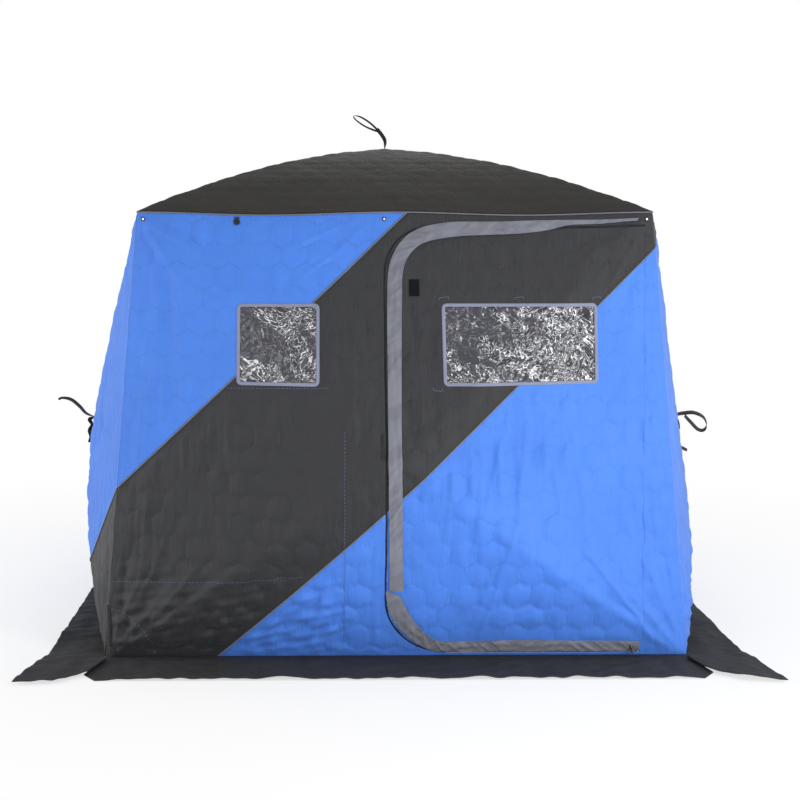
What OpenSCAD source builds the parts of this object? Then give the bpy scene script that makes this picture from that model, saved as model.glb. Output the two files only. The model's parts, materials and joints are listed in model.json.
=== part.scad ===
// Pop-up ice fishing hut: a square fabric shelter held open by five hubs with bowed poles.
// Millimetres. The ice is z = 0, the front wall faces -Y, the origin is the middle of the floor.

/* [Shelter] */
// Width of the square footprint at the ice
base_width = 2250; // [2150:10:2700]
// Width of the square eave
eave_width = 2026; // [1900:2:2100]
// Height of the eave above the ice
eave_height = 1720; // [1430:5:2070]
// Rise of the crown above the eave
roof_rise = 306; // [240:2:380]
// Height of the wall hubs above the ice
hub_height = 785; // [650:5:945]
// How far a popped wall hub stands out past the foot of its wall
hub_reach = 225; // [180:5:275]
// Outward bow of the lower wall poles
lower_pole_bow = 50; // [40:1:60]
// Outward bow of the upper wall poles
upper_pole_bow = 5; // [3:1:8]
// Upward bow of the roof poles
roof_pole_bow = 50; // [40:1:62]
// Thickness of the quilted thermal fabric
fabric = 6; // [4:0.5:8]

/* [Colour band] */
// Where the upper seam of the black band meets the eave, from the middle of the wall
band_top_x = 45; // [30:1:60]
// Height at which the upper seam meets the left edge of the wall
band_left_z = 650; // [520:5:780]
// Where the lower seam meets the ice, left of the middle
band_foot_x = 697; // [560:5:840]
// How far below the eave the lower seam meets the right edge of the wall
band_right_drop = 140; // [110:2:170]
// Length of the black corner along the foot of a side wall
corner_foot = 700; // [560:5:840]
// Length of the black corner along the eave of a side wall
corner_eave = 150; // [120:2:180]

/* [Door] */
// Distance of the zip line left of the middle of the wall
door_left = 45; // [35:1:55]
// Height of the door's lower edge above the ice
door_sill = 22; // [18:1:30]
// Distance of the door's upper edge below the eave
door_head = 55; // [45:1:70]
// Distance of the sewn hinge edge from the wall's right edge, at the sill
hinge_inset_sill = 184; // [150:2:220]
// Distance of the sewn hinge edge from the wall's right edge, at the head
hinge_inset_head = 37; // [32:1:46]
// Radius of the door's upper corner
door_top_radius = 190; // [150:5:230]
// Radius of the door's lower corner
door_foot_radius = 235; // [190:5:280]
// Running gap around the door
door_gap = 7; // [5:0.5:9]
// Width of the storm flap over the zip
flap_width = 52; // [42:1:62]
// Width of the upper storm flap at its far end
flap_tip = 10; // [8:1:14]
// Length of the tapered stretch of the upper storm flap
flap_taper = 400; // [320:5:480]
// Height at which the upper and lower storm flaps meet
flap_split = 283; // [270:2:330]

/* [Windows] */
// Height of every window
window_height = 308; // [250:2:360]
// Width of the small window
small_window_width = 316; // [260:2:380]
// Width of the door window
door_window_width = 605; // [500:5:640]
// Distance of the window tops below the eave
window_drop = 352; // [300:2:400]
// Middle of the small window, left of the middle of the wall
small_window_x = 456; // [420:2:480]
// Middle of the door window, right of the middle of the wall
door_window_x = 473; // [460:2:490]
// Width of the binding around a window
binding_width = 13; // [10:1:18]
// Corner radius of a window's binding
window_radius = 18; // [14:1:24]
// Thickness of the clear window vinyl
vinyl = 2; // [1.5:0.5:3]

/* [Skirts] */
// Width of the front and back skirts that lie on the ice
front_skirt_width = 290; // [230:5:340]
// Width of the side skirts that lie on the ice
side_skirt_width = 220; // [180:5:265]
// How far the tips of the side skirts reach past the corner of the hut, sideways
skirt_tip_side = 285; // [280:5:340]
// How far the tips of the side skirts reach past the corner of the hut, forwards
skirt_tip_front = 340; // [320:5:400]
// Thickness of a skirt with its hem
skirt = 5; // [3:0.5:7]

/* [Frame] */
// Diameter of the fibreglass poles
pole_diameter = 11; // [8:0.5:13]
// Diameter of a hub
hub_diameter = 64; // [60:1:76]
// Thickness of a hub
hub_thickness = 24; // [20:1:28]
// Diameter of a pole socket on a hub
socket_diameter = 18; // [16:1:22]
// Reach of a pole socket from the middle of its hub
socket_reach = 58; // [50:1:70]
// Diameter of the ball socket in each corner
corner_ball = 40; // [32:1:46]

/* [Trim] */
// Width of the pull straps' webbing
strap_width = 13; // [10:1:16]
// Thickness of the pull straps' webbing
strap_thickness = 2.5; // [2:0.5:3.5]
// Diameter of an eyelet
eyelet_diameter = 17; // [14:1:20]
// Thickness of trim sewn on the fabric
trim = 3; // [2:0.5:4]
// Width of the hook-and-loop patch on the door
patch_width = 40; // [32:1:46]
// Height of the hook-and-loop patch on the door
patch_height = 64; // [54:1:74]
// Distance of the hook-and-loop patch right of the zip line
patch_inset = 92; // [80:1:104]
// Distance of the hook-and-loop patch's top below the eave
patch_drop = 260; // [220:2:300]
// Distance of the eave ring left of the middle of the wall
ring_x = 622; // [560:2:680]
// Inner diameter of the eave ring
ring_bore = 18; // [15:1:22]

/* [Hidden] */

blue = "#4a80e4";
black = "#3f4145";
roof_grey = "#4e4d49";
flap_grey = "#888a94";
binding_grey = "#8e93a8";
clear = "#c9ced6";
pole_white = "#d8d4c4";

seat = 0.3;               // clearance of a piece from what carries it
grid = 12;                // steps across and up each fabric surface
far = 4000;               // longer than the whole hut, for cuts that run right through
curve = 256;              // segments of a full turn on the poles
round = 48;               // segments of a full turn on small round pieces
arc_steps = 10;           // steps in a quarter turn of an outline

base_half = base_width / 2;
eave_half = eave_width / 2;
crown_height = eave_height + roof_rise;
hub_out = base_half + hub_reach;
bulge = hub_out - half_at(hub_height);
head_z = eave_height - door_head;
// the windows stay above the hubs when the eave is low
window_foot = max(eave_height - window_drop - window_height, hub_height + hub_diameter / 2 + binding_width);
window_z = window_foot + window_height / 2;

step = 2 / grid;          // a grid step, on a surface that runs from -1 to 1

// ---- Fabric surfaces ----

// Half the width of the hut at height z
function half_at(z) = base_half + (eave_half - base_half) * z / eave_height;

// Height of a wall's grid line v, from -1 at the ice through 0 at the hub to 1 at the eave
function z_of(v) = v < 0 ? hub_height * (1 + v) : hub_height + (eave_height - hub_height) * v;
function v_of(z) = z < hub_height ? z / hub_height - 1 : (z - hub_height) / (eave_height - hub_height);

// How far out the wall stands over a pole, at grid line v
function bow_at(v) = 4 * (v < 0 ? lower_pole_bow : upper_pole_bow) * abs(v) * (1 - abs(v));
function pole_out(v) = half_at(z_of(v)) + bulge * (1 - abs(v)) + bow_at(v);

// How far up a side gore height z lies, from 0 at the lower pole to 1 at the upper one
function gore_rise(a, z) = (z - z_of(-a)) / (z_of(a) - z_of(-a));
function gore_out(a, z) = pole_out(-a) + (pole_out(a) - pole_out(-a)) * gore_rise(a, z);

// How far out the wall stands at grid place (u, v): straight between its two nearest poles
function wall_out(u, v) = abs(v) >= abs(u) ? pole_out(v) : gore_out(abs(u), z_of(v));

// A point of the front wall on the grid, d proud of the fabric
function wall_grid(u, v, d) = [u * half_at(z_of(v)), -wall_out(u, v) - d, z_of(v)];

// The point of the front wall at sideways place x and height z, d proud of the fabric
function wall_at(x, z, d) = [x, -wall_out(x / half_at(z), v_of(z)) - d, z];

// The square-on outward direction there, and a turn that aims +Z along a direction
function unit(a) = a / norm(a);
function wall_normal(x, z) = unit(cross(
    wall_at(x + 1, z, 0) - wall_at(x - 1, z, 0),
    wall_at(x, z + 1, 0) - wall_at(x, z - 1, 0)
));
function aim(way) = [0, acos(way[2] / norm(way)), atan2(way[1], way[0])];

// A point of the roof on the grid, d proud of the fabric
function roof_out(m) = crown_height - roof_rise * m + 4 * roof_pole_bow * m * (1 - m);
function roof_grid(u, v, d) = [u * eave_half, v * eave_half, roof_out(max(abs(u), abs(v))) + d];

// Faces of a two-sided shell on a square grid, creased along both diagonals
function at(i, j, side) = side * (grid + 1) * (grid + 1) + j * (grid + 1) + i;
function falls(i, j) = (i + 0.5 - grid / 2) * (j + 0.5 - grid / 2) < 0;
function cell(i, j, side) = falls(i, j)
    ? [[at(i, j, side), at(i, j + 1, side), at(i + 1, j, side)],
       [at(i + 1, j, side), at(i, j + 1, side), at(i + 1, j + 1, side)]]
    : [[at(i, j, side), at(i, j + 1, side), at(i + 1, j + 1, side)],
       [at(i, j, side), at(i + 1, j + 1, side), at(i + 1, j, side)]];
function turned(face) = [face[2], face[1], face[0]];
function rim(a, b) = [[a[0], b[0], b[1]], [a[0], b[1], a[1]]];
function edge(i, j) = [at(i, j, 0), at(i, j, 1)];

function shell_faces() = concat(
    [for (i = [0 : grid - 1], j = [0 : grid - 1], f = cell(i, j, 0)) f],
    [for (i = [0 : grid - 1], j = [0 : grid - 1], f = cell(i, j, 1)) turned(f)],
    [for (i = [0 : grid - 1], f = rim(edge(i, 0), edge(i + 1, 0))) f],
    [for (i = [0 : grid - 1], f = rim(edge(i + 1, grid), edge(i, grid))) f],
    [for (j = [0 : grid - 1], f = rim(edge(0, j + 1), edge(0, j))) f],
    [for (j = [0 : grid - 1], f = rim(edge(grid, j), edge(grid, j + 1))) f]
);

function grid_place(i) = 2 * i / grid - 1;

// A sheet lying on the front wall, from d_low to d_high proud of the outer fabric surface
module wall_sheet(d_low, d_high) {
    outer = [for (j = [0 : grid], i = [0 : grid]) wall_grid(grid_place(i), grid_place(j), d_high)];
    inner = [for (j = [0 : grid], i = [0 : grid]) wall_grid(grid_place(i), grid_place(j), d_low)];
    polyhedron(points = concat(outer, inner), faces = shell_faces());
}

// The roof's fabric, from d_low to d_high proud of its outer surface
module roof_sheet(d_low, d_high) {
    outer = [for (j = [0 : grid], i = [0 : grid]) roof_grid(grid_place(i), grid_place(j), d_high)];
    inner = [for (j = [0 : grid], i = [0 : grid]) roof_grid(grid_place(i), grid_place(j), d_low)];
    polyhedron(points = concat(outer, inner), faces = shell_faces());
}

// ---- Outlines on a wall, drawn in its own sideways and upward directions ----

// Runs a flat outline right through the front wall
module through() {
    rotate([90, 0, 0])
        linear_extrude(height = far)
            children();
}

function arc_points(cx, cz, r, from, to) = [
    for (k = [0 : arc_steps]) [cx + r * cos(from + (to - from) * k / arc_steps),
                               cz + r * sin(from + (to - from) * k / arc_steps)]
];

// Sideways place of the door's sewn edge at height z
hinge_sill_x = half_at(door_sill) - hinge_inset_sill;
hinge_head_x = half_at(head_z) - hinge_inset_head;
function hinge_x(z) = hinge_sill_x
    + (hinge_head_x - hinge_sill_x) * (z - door_sill) / (head_z - door_sill);

// The door's outline: a D with round corners on the zip side, drawn in by inset
module door_outline(inset) {
    low = door_sill + inset;
    high = head_z - inset;
    left = inset - door_left;
    foot_r = door_foot_radius - inset;
    top_r = door_top_radius - inset;
    polygon(concat(
        [[hinge_x(low) - door_gap / 2, low]],
        [[hinge_x(high) - door_gap / 2, high]],
        arc_points(left + top_r, high - top_r, top_r, 90, 180),
        arc_points(left + foot_r, low + foot_r, foot_r, 180, 270)
    ));
}

// What the fixed wall leaves free for the door
module doorway_outline() {
    low = door_sill - door_gap;
    high = head_z + door_gap;
    door_outline(-door_gap);
    polygon([
        [door_foot_radius, low],
        [hinge_x(low) + door_gap / 2, low],
        [hinge_x(high) + door_gap / 2, high],
        [door_foot_radius, high]
    ]);
}

function slope_to(a, b, x) = a[1] + (b[1] - a[1]) * (x - a[0]) / (b[0] - a[0]);

upper_seam = [[-half_at(band_left_z), band_left_z], [band_top_x, eave_height]];
band_right_z = eave_height - band_right_drop;
lower_seam = [[-band_foot_x, 0], [half_at(band_right_z), band_right_z]];

module above_upper_seam() {
    polygon([
        [-far, slope_to(upper_seam[0], upper_seam[1], -far)],
        [far, slope_to(upper_seam[0], upper_seam[1], far)],
        [-far, far]
    ]);
}

module below_lower_seam() {
    polygon([
        [-far, slope_to(lower_seam[0], lower_seam[1], -far)],
        [far, -far],
        [far, slope_to(lower_seam[0], lower_seam[1], far)]
    ]);
}

side_low_seam = [[base_half - corner_foot, 0], [half_at(band_left_z), band_left_z]];
side_high_seam = [[-half_at(band_right_z), band_right_z], [-eave_half + corner_eave, eave_height]];

module side_corner_low() {
    polygon([
        [-far, slope_to(side_low_seam[0], side_low_seam[1], -far)],
        [far, -far],
        [far, slope_to(side_low_seam[0], side_low_seam[1], far)]
    ]);
}

module side_corner_high() {
    polygon([
        [-far, slope_to(side_high_seam[0], side_high_seam[1], -far)],
        [far, slope_to(side_high_seam[0], side_high_seam[1], far)],
        [-far, far]
    ]);
}

module rounded_box(width, height, radius) {
    w = width / 2 - radius;
    h = height / 2 - radius;
    polygon(concat(
        arc_points(w, h, radius, 0, 90),
        arc_points(-w, h, radius, 90, 180),
        arc_points(-w, -h, radius, 180, 270),
        arc_points(w, -h, radius, 270, 360)
    ));
}

// A window's outline at sideways place x, grown by d past the middle of its binding
module window_outline(x, width, d) {
    middle = binding_width / 2 - d;
    translate([x, window_z])
        rounded_box(width - 2 * middle, window_height - 2 * middle, window_radius - middle);
}

module binding_outline(x, width) {
    difference() {
        window_outline(x, width, binding_width / 2);
        window_outline(x, width, -binding_width / 2);
    }
}

// ---- Pieces of a wall, all drawn on the front wall ----

module wall_piece() {
    intersection() {
        wall_sheet(-fabric, 0);
        through() children();
    }
}

module trim_piece() {
    intersection() {
        wall_sheet(seat, seat + trim);
        through() children();
    }
}

module binding(x, width) {
    color(binding_grey) trim_piece() binding_outline(x, width);
}

module pane(x, width) {
    color(clear)
        intersection() {
            wall_sheet(-vinyl, 0);
            through() window_outline(x, width, -seat);
        }
}

module whole_wall() {
    translate([-far / 2, -far / 2]) square(far);
}

// ---- Front wall ----

module left_of_door() {
    translate([-far - door_left, -far / 2]) square(far);
}

module front_wall_upper() {
    color(blue) wall_piece() difference() {
        above_upper_seam();
        window_outline(-small_window_x, small_window_width, 0);
    }
}

module front_wall_band() {
    color(black) wall_piece() difference() {
        intersection() {
            whole_wall();
            left_of_door();
        }
        above_upper_seam();
        below_lower_seam();
        window_outline(-small_window_x, small_window_width, 0);
        doorway_outline();
    }
}

module front_wall_lower() {
    color(blue) wall_piece() difference() {
        intersection() {
            below_lower_seam();
            left_of_door();
        }
        doorway_outline();
    }
}

// The strip over the door, with the black top of the right jamb
module front_wall_header() {
    color(black) wall_piece() difference() {
        whole_wall();
        left_of_door();
        above_upper_seam();
        below_lower_seam();
        doorway_outline();
        translate([-far / 2, -far + hub_height]) square(far);
    }
}

module jamb_outline() {
    polygon([
        [hinge_x(0), 0],
        [far, 0],
        [far, eave_height],
        [hinge_x(eave_height), eave_height]
    ]);
}

module front_wall_jamb() {
    color(blue) wall_piece() difference() {
        intersection() {
            below_lower_seam();
            jamb_outline();
        }
        doorway_outline();
    }
}

// The strip under the door, between the lower left panel and the right jamb
module front_wall_sill() {
    color(blue) wall_piece() difference() {
        translate([-door_left, -far]) square([far, far + hub_height]);
        doorway_outline();
        jamb_outline();
    }
}

module front_window_binding() { binding(-small_window_x, small_window_width); }
module front_window_pane() { pane(-small_window_x, small_window_width); }

// ---- Door ----

module door_panel_outline() {
    difference() {
        door_outline(0);
        window_outline(door_window_x, door_window_width, 0);
    }
}

module door_upper() {
    color(black) wall_piece() difference() {
        door_panel_outline();
        below_lower_seam();
    }
}

module door_lower() {
    color(blue) wall_piece() intersection() {
        door_panel_outline();
        below_lower_seam();
    }
}

module door_window_binding() { binding(door_window_x, door_window_width); }
module door_window_pane() { pane(door_window_x, door_window_width); }

module flap_ring() {
    difference() {
        door_outline(trim);
        door_outline(trim + flap_width);
    }
}

// The strip over the vertical zip, which turns the upper corner and tapers along the head
module door_flap_upper() {
    taper_x = hinge_x(head_z) - flap_taper;
    color(flap_grey) trim_piece() difference() {
        flap_ring();
        translate([-far / 2, flap_split - far]) square(far);
        translate([hinge_x(hub_height) - flap_width - 2 * trim - flap_taper, 0])
            square([far, head_z - trim - flap_width]);
        polygon([
            [taper_x, head_z - trim - flap_width],
            [hinge_x(head_z) + far, head_z - trim - flap_width],
            [hinge_x(head_z) + far, head_z - trim - flap_tip],
            [hinge_x(head_z), head_z - trim - flap_tip]
        ]);
    }
}

// The strip over the lower zip, with a pointed end where it meets the upper one
module door_flap_lower() {
    color(flap_grey) trim_piece() difference() {
        flap_ring();
        translate([hinge_x(hub_height) - flap_width - 2 * trim - flap_taper, door_sill + flap_width + 2 * trim])
            square(far);
        polygon([
            [-far, flap_split - seat],
            [trim - door_left, flap_split - seat],
            [trim - door_left + flap_width, flap_split - 2 * flap_width / 3],
            [far, flap_split - 2 * flap_width / 3],
            [far, far],
            [-far, far]
        ]);
    }
}

module door_patch() {
    color(black)
        trim_piece()
            translate([patch_inset - door_left, eave_height - patch_drop - patch_height])
                square([patch_width, patch_height]);
}

// Slider and puller at the hinge end of the lower zip, hanging clear of the skirt
puller_width = 12;
puller_depth = 7;
slider_rise = 22;
module zip_pull() {
    x = hinge_x(door_sill) - 3 * puller_width;
    z = door_sill + slider_rise;
    // the sheet's flat facets lie a little inside the bowed surface between two grid lines
    along = v_of(z) + 1 - step * floor((v_of(z) + 1) / step);
    facet_sag = 4 * lower_pole_bow * along * (step - along);
    flap_face = (facet_sag - seat - trim) * wall_normal(x, z)[1];
    proud = flap_face + seat + puller_depth / 2;
    color("silver")
        translate(wall_at(x, z, 0) + proud * wall_normal(x, z)) {
            rotate(aim(wall_normal(x, z)))
                cube([puller_width, puller_width, puller_depth], center = true);
            translate([-puller_width / 4, -puller_depth / 2, -slider_rise])
                cube([puller_width / 2, trim, slider_rise]);
        }
}

// Sewn edge that the door turns on: a cord along the straight stretch of the right gore
hinge_low = wall_at(hinge_x(140), 140, 0);
hinge_high = wall_at(hinge_x(head_z - 25), head_z - 25, 0);
module door_hinge_cord() {
    run = hinge_high - hinge_low;
    color(blue)
        translate(hinge_low)
            rotate(aim(run))
                cylinder(r = door_gap / 2 - seat, h = norm(run), $fn = round);
}

// ---- Back wall: the front one turned half round, with a fixed panel in place of the door ----

module to_back() {
    rotate([0, 0, 180]) children();
}

module back_window_outlines() {
    window_outline(-small_window_x, small_window_width, 0);
    window_outline(door_window_x, door_window_width, 0);
}

module back_wall_upper() {
    color(blue) to_back() wall_piece() difference() {
        above_upper_seam();
        back_window_outlines();
    }
}

module back_wall_band() {
    color(black) to_back() wall_piece() difference() {
        whole_wall();
        above_upper_seam();
        below_lower_seam();
        back_window_outlines();
    }
}

module back_wall_lower() {
    color(blue) to_back() wall_piece() difference() {
        below_lower_seam();
        back_window_outlines();
    }
}

module back_window_bindings() {
    to_back() {
        binding(-small_window_x, small_window_width);
        binding(door_window_x, door_window_width);
    }
}

module back_window_panes() {
    to_back() {
        pane(-small_window_x, small_window_width);
        pane(door_window_x, door_window_width);
    }
}

// ---- Side walls, which end against the inside of the front and back walls ----

module to_left() {
    rotate([0, 0, -90]) children();
}

module to_right() {
    rotate([0, 0, 90]) children();
}

module side_outline() {
    drawn_in = fabric + seat;
    polygon([
        [-base_half + drawn_in, 0],
        [base_half - drawn_in, 0],
        [eave_half - drawn_in, eave_height],
        [-eave_half + drawn_in, eave_height]
    ]);
}

module side_wall() {
    color(blue) wall_piece() difference() {
        side_outline();
        side_corner_low();
        side_corner_high();
        window_outline(0, small_window_width, 0);
    }
}

module side_wall_corners() {
    color(black) wall_piece() intersection() {
        side_outline();
        union() {
            side_corner_low();
            side_corner_high();
        }
    }
}

module left_wall() { to_left() side_wall(); }
module left_wall_corners() { to_left() side_wall_corners(); }
module right_wall() { to_right() side_wall(); }
module right_wall_corners() { to_right() side_wall_corners(); }

module side_window_bindings() {
    to_left() binding(0, small_window_width);
    to_right() binding(0, small_window_width);
}

module side_window_panes() {
    to_left() pane(0, small_window_width);
    to_right() pane(0, small_window_width);
}

// ---- Roof ----

module roof() {
    color(roof_grey) roof_sheet(seat, seat + fabric);
}

// ---- Skirts that lie on the ice, sewn to the foot of each wall ----

// How far the wall has left its foot at the top of the skirt, which the skirt keeps clear of
skirt_seam = pole_out(v_of(skirt)) + seat;

module front_skirt() {
    color(black)
        translate([-base_half, -base_half - front_skirt_width, 0])
            cube([base_width, front_skirt_width - (skirt_seam - base_half), skirt]);
}

module back_skirt() { to_back() front_skirt(); }

// The front end of a side skirt's outline, from the seam round the flared tip to the outer edge
function skirt_end() = [
    [skirt_seam, -base_half - side_skirt_width / 3],
    [base_half + side_skirt_width / 5, -base_half - side_skirt_width],
    [base_half + skirt_tip_side / 2, -base_half - 0.94 * skirt_tip_front],
    [base_half + skirt_tip_side, -base_half - skirt_tip_front],
    [base_half + side_skirt_width, -base_half]
];
function flipped(points) = [for (k = [len(points) - 1 : -1 : 0]) [points[k][0], -points[k][1]]];

module side_skirt() {
    color(black)
        linear_extrude(height = skirt)
            polygon(concat(skirt_end(), flipped(skirt_end())));
}

module right_skirt() { side_skirt(); }
module left_skirt() { to_back() side_skirt(); }

// ---- Hub frame ----

pole_r = pole_diameter / 2;
ball_r = corner_ball / 2;

// A hub's outer face clears the fabric, which falls away from the hub's point
upper_fall = (hub_out - pole_out(step)) / (z_of(step) - hub_height);
hub_face = hub_out - fabric - seat - upper_fall * hub_diameter / 2;
hub_mid = hub_face - hub_thickness / 2;

// A corner ball touches both walls beside it, drawn in from the corner by this much
corner_lean = bulge / half_at(hub_height);
corner_taper = (base_half - eave_half) / eave_height;
corner_steepness = sqrt(1 + corner_lean * corner_lean + corner_taper * corner_taper);
corner_inset = ((ball_r + seat) * corner_steepness + fabric) / (1 + corner_lean);
function corner_place(z) = [half_at(z) - corner_inset, -half_at(z) + corner_inset, z];
base_ball = corner_place(ball_r + seat);
eave_ball = corner_place(eave_height - ball_r - 2 * seat);
front_hub = [0, -hub_mid, hub_height];

// The roof hub hangs under the crown
roof_fall = (crown_height - roof_out(step)) / (step * eave_half);
roof_hub_z = crown_height - seat - roof_fall * hub_diameter / 2 - hub_thickness / 2;
roof_hub = [0, 0, roof_hub_z];

// The direction nearest to up_like that stands square on the line from a to b
function lift(a, b, up_like) = unit(up_like - unit(b - a) * (up_like * unit(b - a)));

// A bowed pole from the hub socket at a to the corner ball at b, standing out by bow towards up_like
module pole(a, b, bow, up_like) {
    e1 = unit(b - a);
    e2 = lift(a, b, up_like);
    e3 = cross(e1, e2);
    // the ends lean against the straight line, so their edges reach past their middles
    lean = seat + 4 * bow / norm(b - a) * pole_r;
    start = a + e1 * (socket_reach + lean);
    end = b - e1 * (ball_r + seat);
    span = norm(end - start);
    radius = span * span / (8 * bow) + bow / 2;
    sweep = asin(span / 2 / radius);
    centre = (start + end) / 2 - e2 * (radius - bow);
    multmatrix([
        [e1[0], e2[0], e3[0], centre[0]],
        [e1[1], e2[1], e3[1], centre[1]],
        [e1[2], e2[2], e3[2], centre[2]]
    ])
        rotate([0, 0, 90 - sweep])
            rotate_extrude(angle = 2 * sweep, $fn = curve)
                translate([radius, 0])
                    circle(r = pole_r, $fn = round);
}

function mirrored(p) = [-p[0], p[1], p[2]];

// How a wall pole from a to b bows to lie under the middle of the fabric's crease at grid place (u, v)
pole_slack = 6;           // between a pole and the fabric there
function crease_rise(a, b, u, v) = lifted(wall_grid(u, v, -fabric) - (a + b) / 2, unit(b - a));
function lifted(rise, along) = rise - along * (along * rise);

module wall_pole(b, u, v) {
    rise = crease_rise(front_hub, b, u, v);
    pole(front_hub, b, norm(rise) - pole_r - pole_slack, rise);
}

// The four poles of one wall
module wall_poles() {
    color(pole_white) {
        wall_pole(base_ball, 0.5, -0.5);
        wall_pole(mirrored(base_ball), -0.5, -0.5);
        wall_pole(eave_ball, 0.5, 0.5);
        wall_pole(mirrored(eave_ball), -0.5, 0.5);
    }
}

module front_poles() { wall_poles(); }
module back_poles() { to_back() wall_poles(); }
module left_poles() { to_left() wall_poles(); }
module right_poles() { to_right() wall_poles(); }

// The roof poles bow a little more than the fabric, which keeps it taut
pole_tension = 8;
module roof_poles() {
    color(pole_white)
        for (turn = [0 : 90 : 270])
            rotate([0, 0, turn])
                pole(roof_hub, eave_ball, roof_pole_bow + pole_tension, [0, 0, 1]);
}

module aimed_socket(way) {
    rotate(aim(way))
        cylinder(d = socket_diameter, h = socket_reach, $fn = round);
}

// A hub: a disc facing out along -Y with a socket towards each corner
module wall_hub() {
    translate(front_hub) {
        rotate([90, 0, 0])
            cylinder(d = hub_diameter, h = hub_thickness, center = true, $fn = round);
        aimed_socket(base_ball - front_hub);
        aimed_socket(mirrored(base_ball) - front_hub);
        aimed_socket(eave_ball - front_hub);
        aimed_socket(mirrored(eave_ball) - front_hub);
    }
}

module hubs() {
    color("dimgray") {
        for (turn = [0 : 90 : 270])
            rotate([0, 0, turn]) wall_hub();
        translate(roof_hub) {
            cylinder(d = hub_diameter, h = hub_thickness, center = true, $fn = round);
            for (turn = [0 : 90 : 270])
                rotate([0, 0, turn]) aimed_socket(eave_ball - roof_hub);
        }
    }
}

module corner_sockets() {
    color("dimgray")
        for (turn = [0 : 90 : 270])
            rotate([0, 0, turn]) {
                translate(base_ball) sphere(d = corner_ball, $fn = round);
                translate(eave_ball) sphere(d = corner_ball, $fn = round);
            }
}

// ---- Pull straps: webbing loops sewn to the fabric over each hub ----

front_strap_length = 90;  // what shows of the front strap
// Routes in the strap's own plane: outward, then upward, from the point of the hub
left_route = [[seat, 0], [30, -2], [62, 30], [92, 62], [128, 80], [165, 74]];
right_route = [[seat, 0], [26, 2], [68, 7], [110, -5], [144, -20], [164, -54], [132, -80], [90, -44], [60, -12]];
back_route = [[seat, 0], [30, 4], [58, -14], [80, -50], [90, -92]];
roof_route = [[0, seat], [0, 33], [-18, 66], [-38, 90], [-70, 118], [-107, 138], [-146, 143]];

// Square-on directions of a route, for giving the flat strap its thickness
function way(r, k) = unit(r[min(k + 1, len(r) - 1)] - r[max(k - 1, 0)]);
function offset_route(r, d) = [for (k = [0 : len(r) - 1]) r[k] + d * [-way(r, k)[1], way(r, k)[0]]];
function backwards(r) = [for (k = [len(r) - 1 : -1 : 0]) r[k]];

module strap(route) {
    rotate([90, 0, 0])
        linear_extrude(height = strap_width, center = true)
            polygon(concat(
                offset_route(route, strap_thickness / 2),
                backwards(offset_route(route, -strap_thickness / 2))
            ));
}

module hub_strap(turn, route) {
    rotate([0, 0, turn])
        translate([hub_out, 0, hub_height])
            strap(route);
}

module wall_pull_straps() {
    color(black) {
        hub_strap(0, right_route);
        hub_strap(180, left_route);
        hub_strap(90, back_route);
        // the front strap lies folded up beside the zip line
        trim_piece()
            translate([-door_left - door_gap - strap_width, hub_height + strap_width])
                square([strap_width, front_strap_length]);
    }
}

module roof_pull_strap() {
    color(black)
        translate([0, 0, crown_height + seat + fabric])
            strap(roof_route);
}

// ---- Small trim ----

eyelet_edge = 26;         // middle of an eyelet from the edges of its wall

// A ring standing on the front wall, seat clear of the fabric
module eyelet(x, z) {
    translate(wall_at(x, z, 0) + (seat + trim / 4) * wall_normal(x, z))
        rotate(aim(wall_normal(x, z)))
            difference() {
                cylinder(d = eyelet_diameter, h = trim / 2, center = true, $fn = round);
                cylinder(d = eyelet_diameter / 2, h = trim, center = true, $fn = round);
            }
}

module wall_eyelets() {
    top = eave_height - eyelet_edge;
    eyelet(-half_at(top) + eyelet_edge, top);
    eyelet(-door_left, top);
    eyelet(half_at(top) - eyelet_edge, top);
}

module eyelets() {
    color("gray") {
        wall_eyelets();
        to_back() wall_eyelets();
    }
}

// A wire ring in a short tab under the eave, for a guy line
ring_wire = 3;
module eave_ring() {
    z = eave_height - 1.5 * eyelet_edge;
    color(black)
        translate(wall_at(-ring_x, z, 0) + (seat + ring_wire / 2) * wall_normal(-ring_x, z))
            rotate(aim(wall_normal(-ring_x, z)))
                rotate_extrude($fn = round)
                    translate([(ring_bore + ring_wire) / 2, 0])
                        circle(d = ring_wire, $fn = round);
}

roof();
front_wall_upper();
front_wall_band();
front_wall_lower();
front_wall_header();
front_wall_jamb();
front_wall_sill();
front_window_binding();
front_window_pane();
door_upper();
door_lower();
door_window_binding();
door_window_pane();
door_flap_upper();
door_flap_lower();
door_patch();
zip_pull();
door_hinge_cord();
back_wall_upper();
back_wall_band();
back_wall_lower();
back_window_bindings();
back_window_panes();
left_wall();
left_wall_corners();
right_wall();
right_wall_corners();
side_window_bindings();
side_window_panes();
front_skirt();
back_skirt();
left_skirt();
right_skirt();
front_poles();
back_poles();
left_poles();
right_poles();
roof_poles();
hubs();
corner_sockets();
roof_pull_strap();
wall_pull_straps();
eyelets();
eave_ring();
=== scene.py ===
"""Looks of a pop-up ice fishing hut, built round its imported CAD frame.

Everything is in metres. The ice is z = 0 and the front wall faces -Y.
"""

import json
import math

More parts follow.
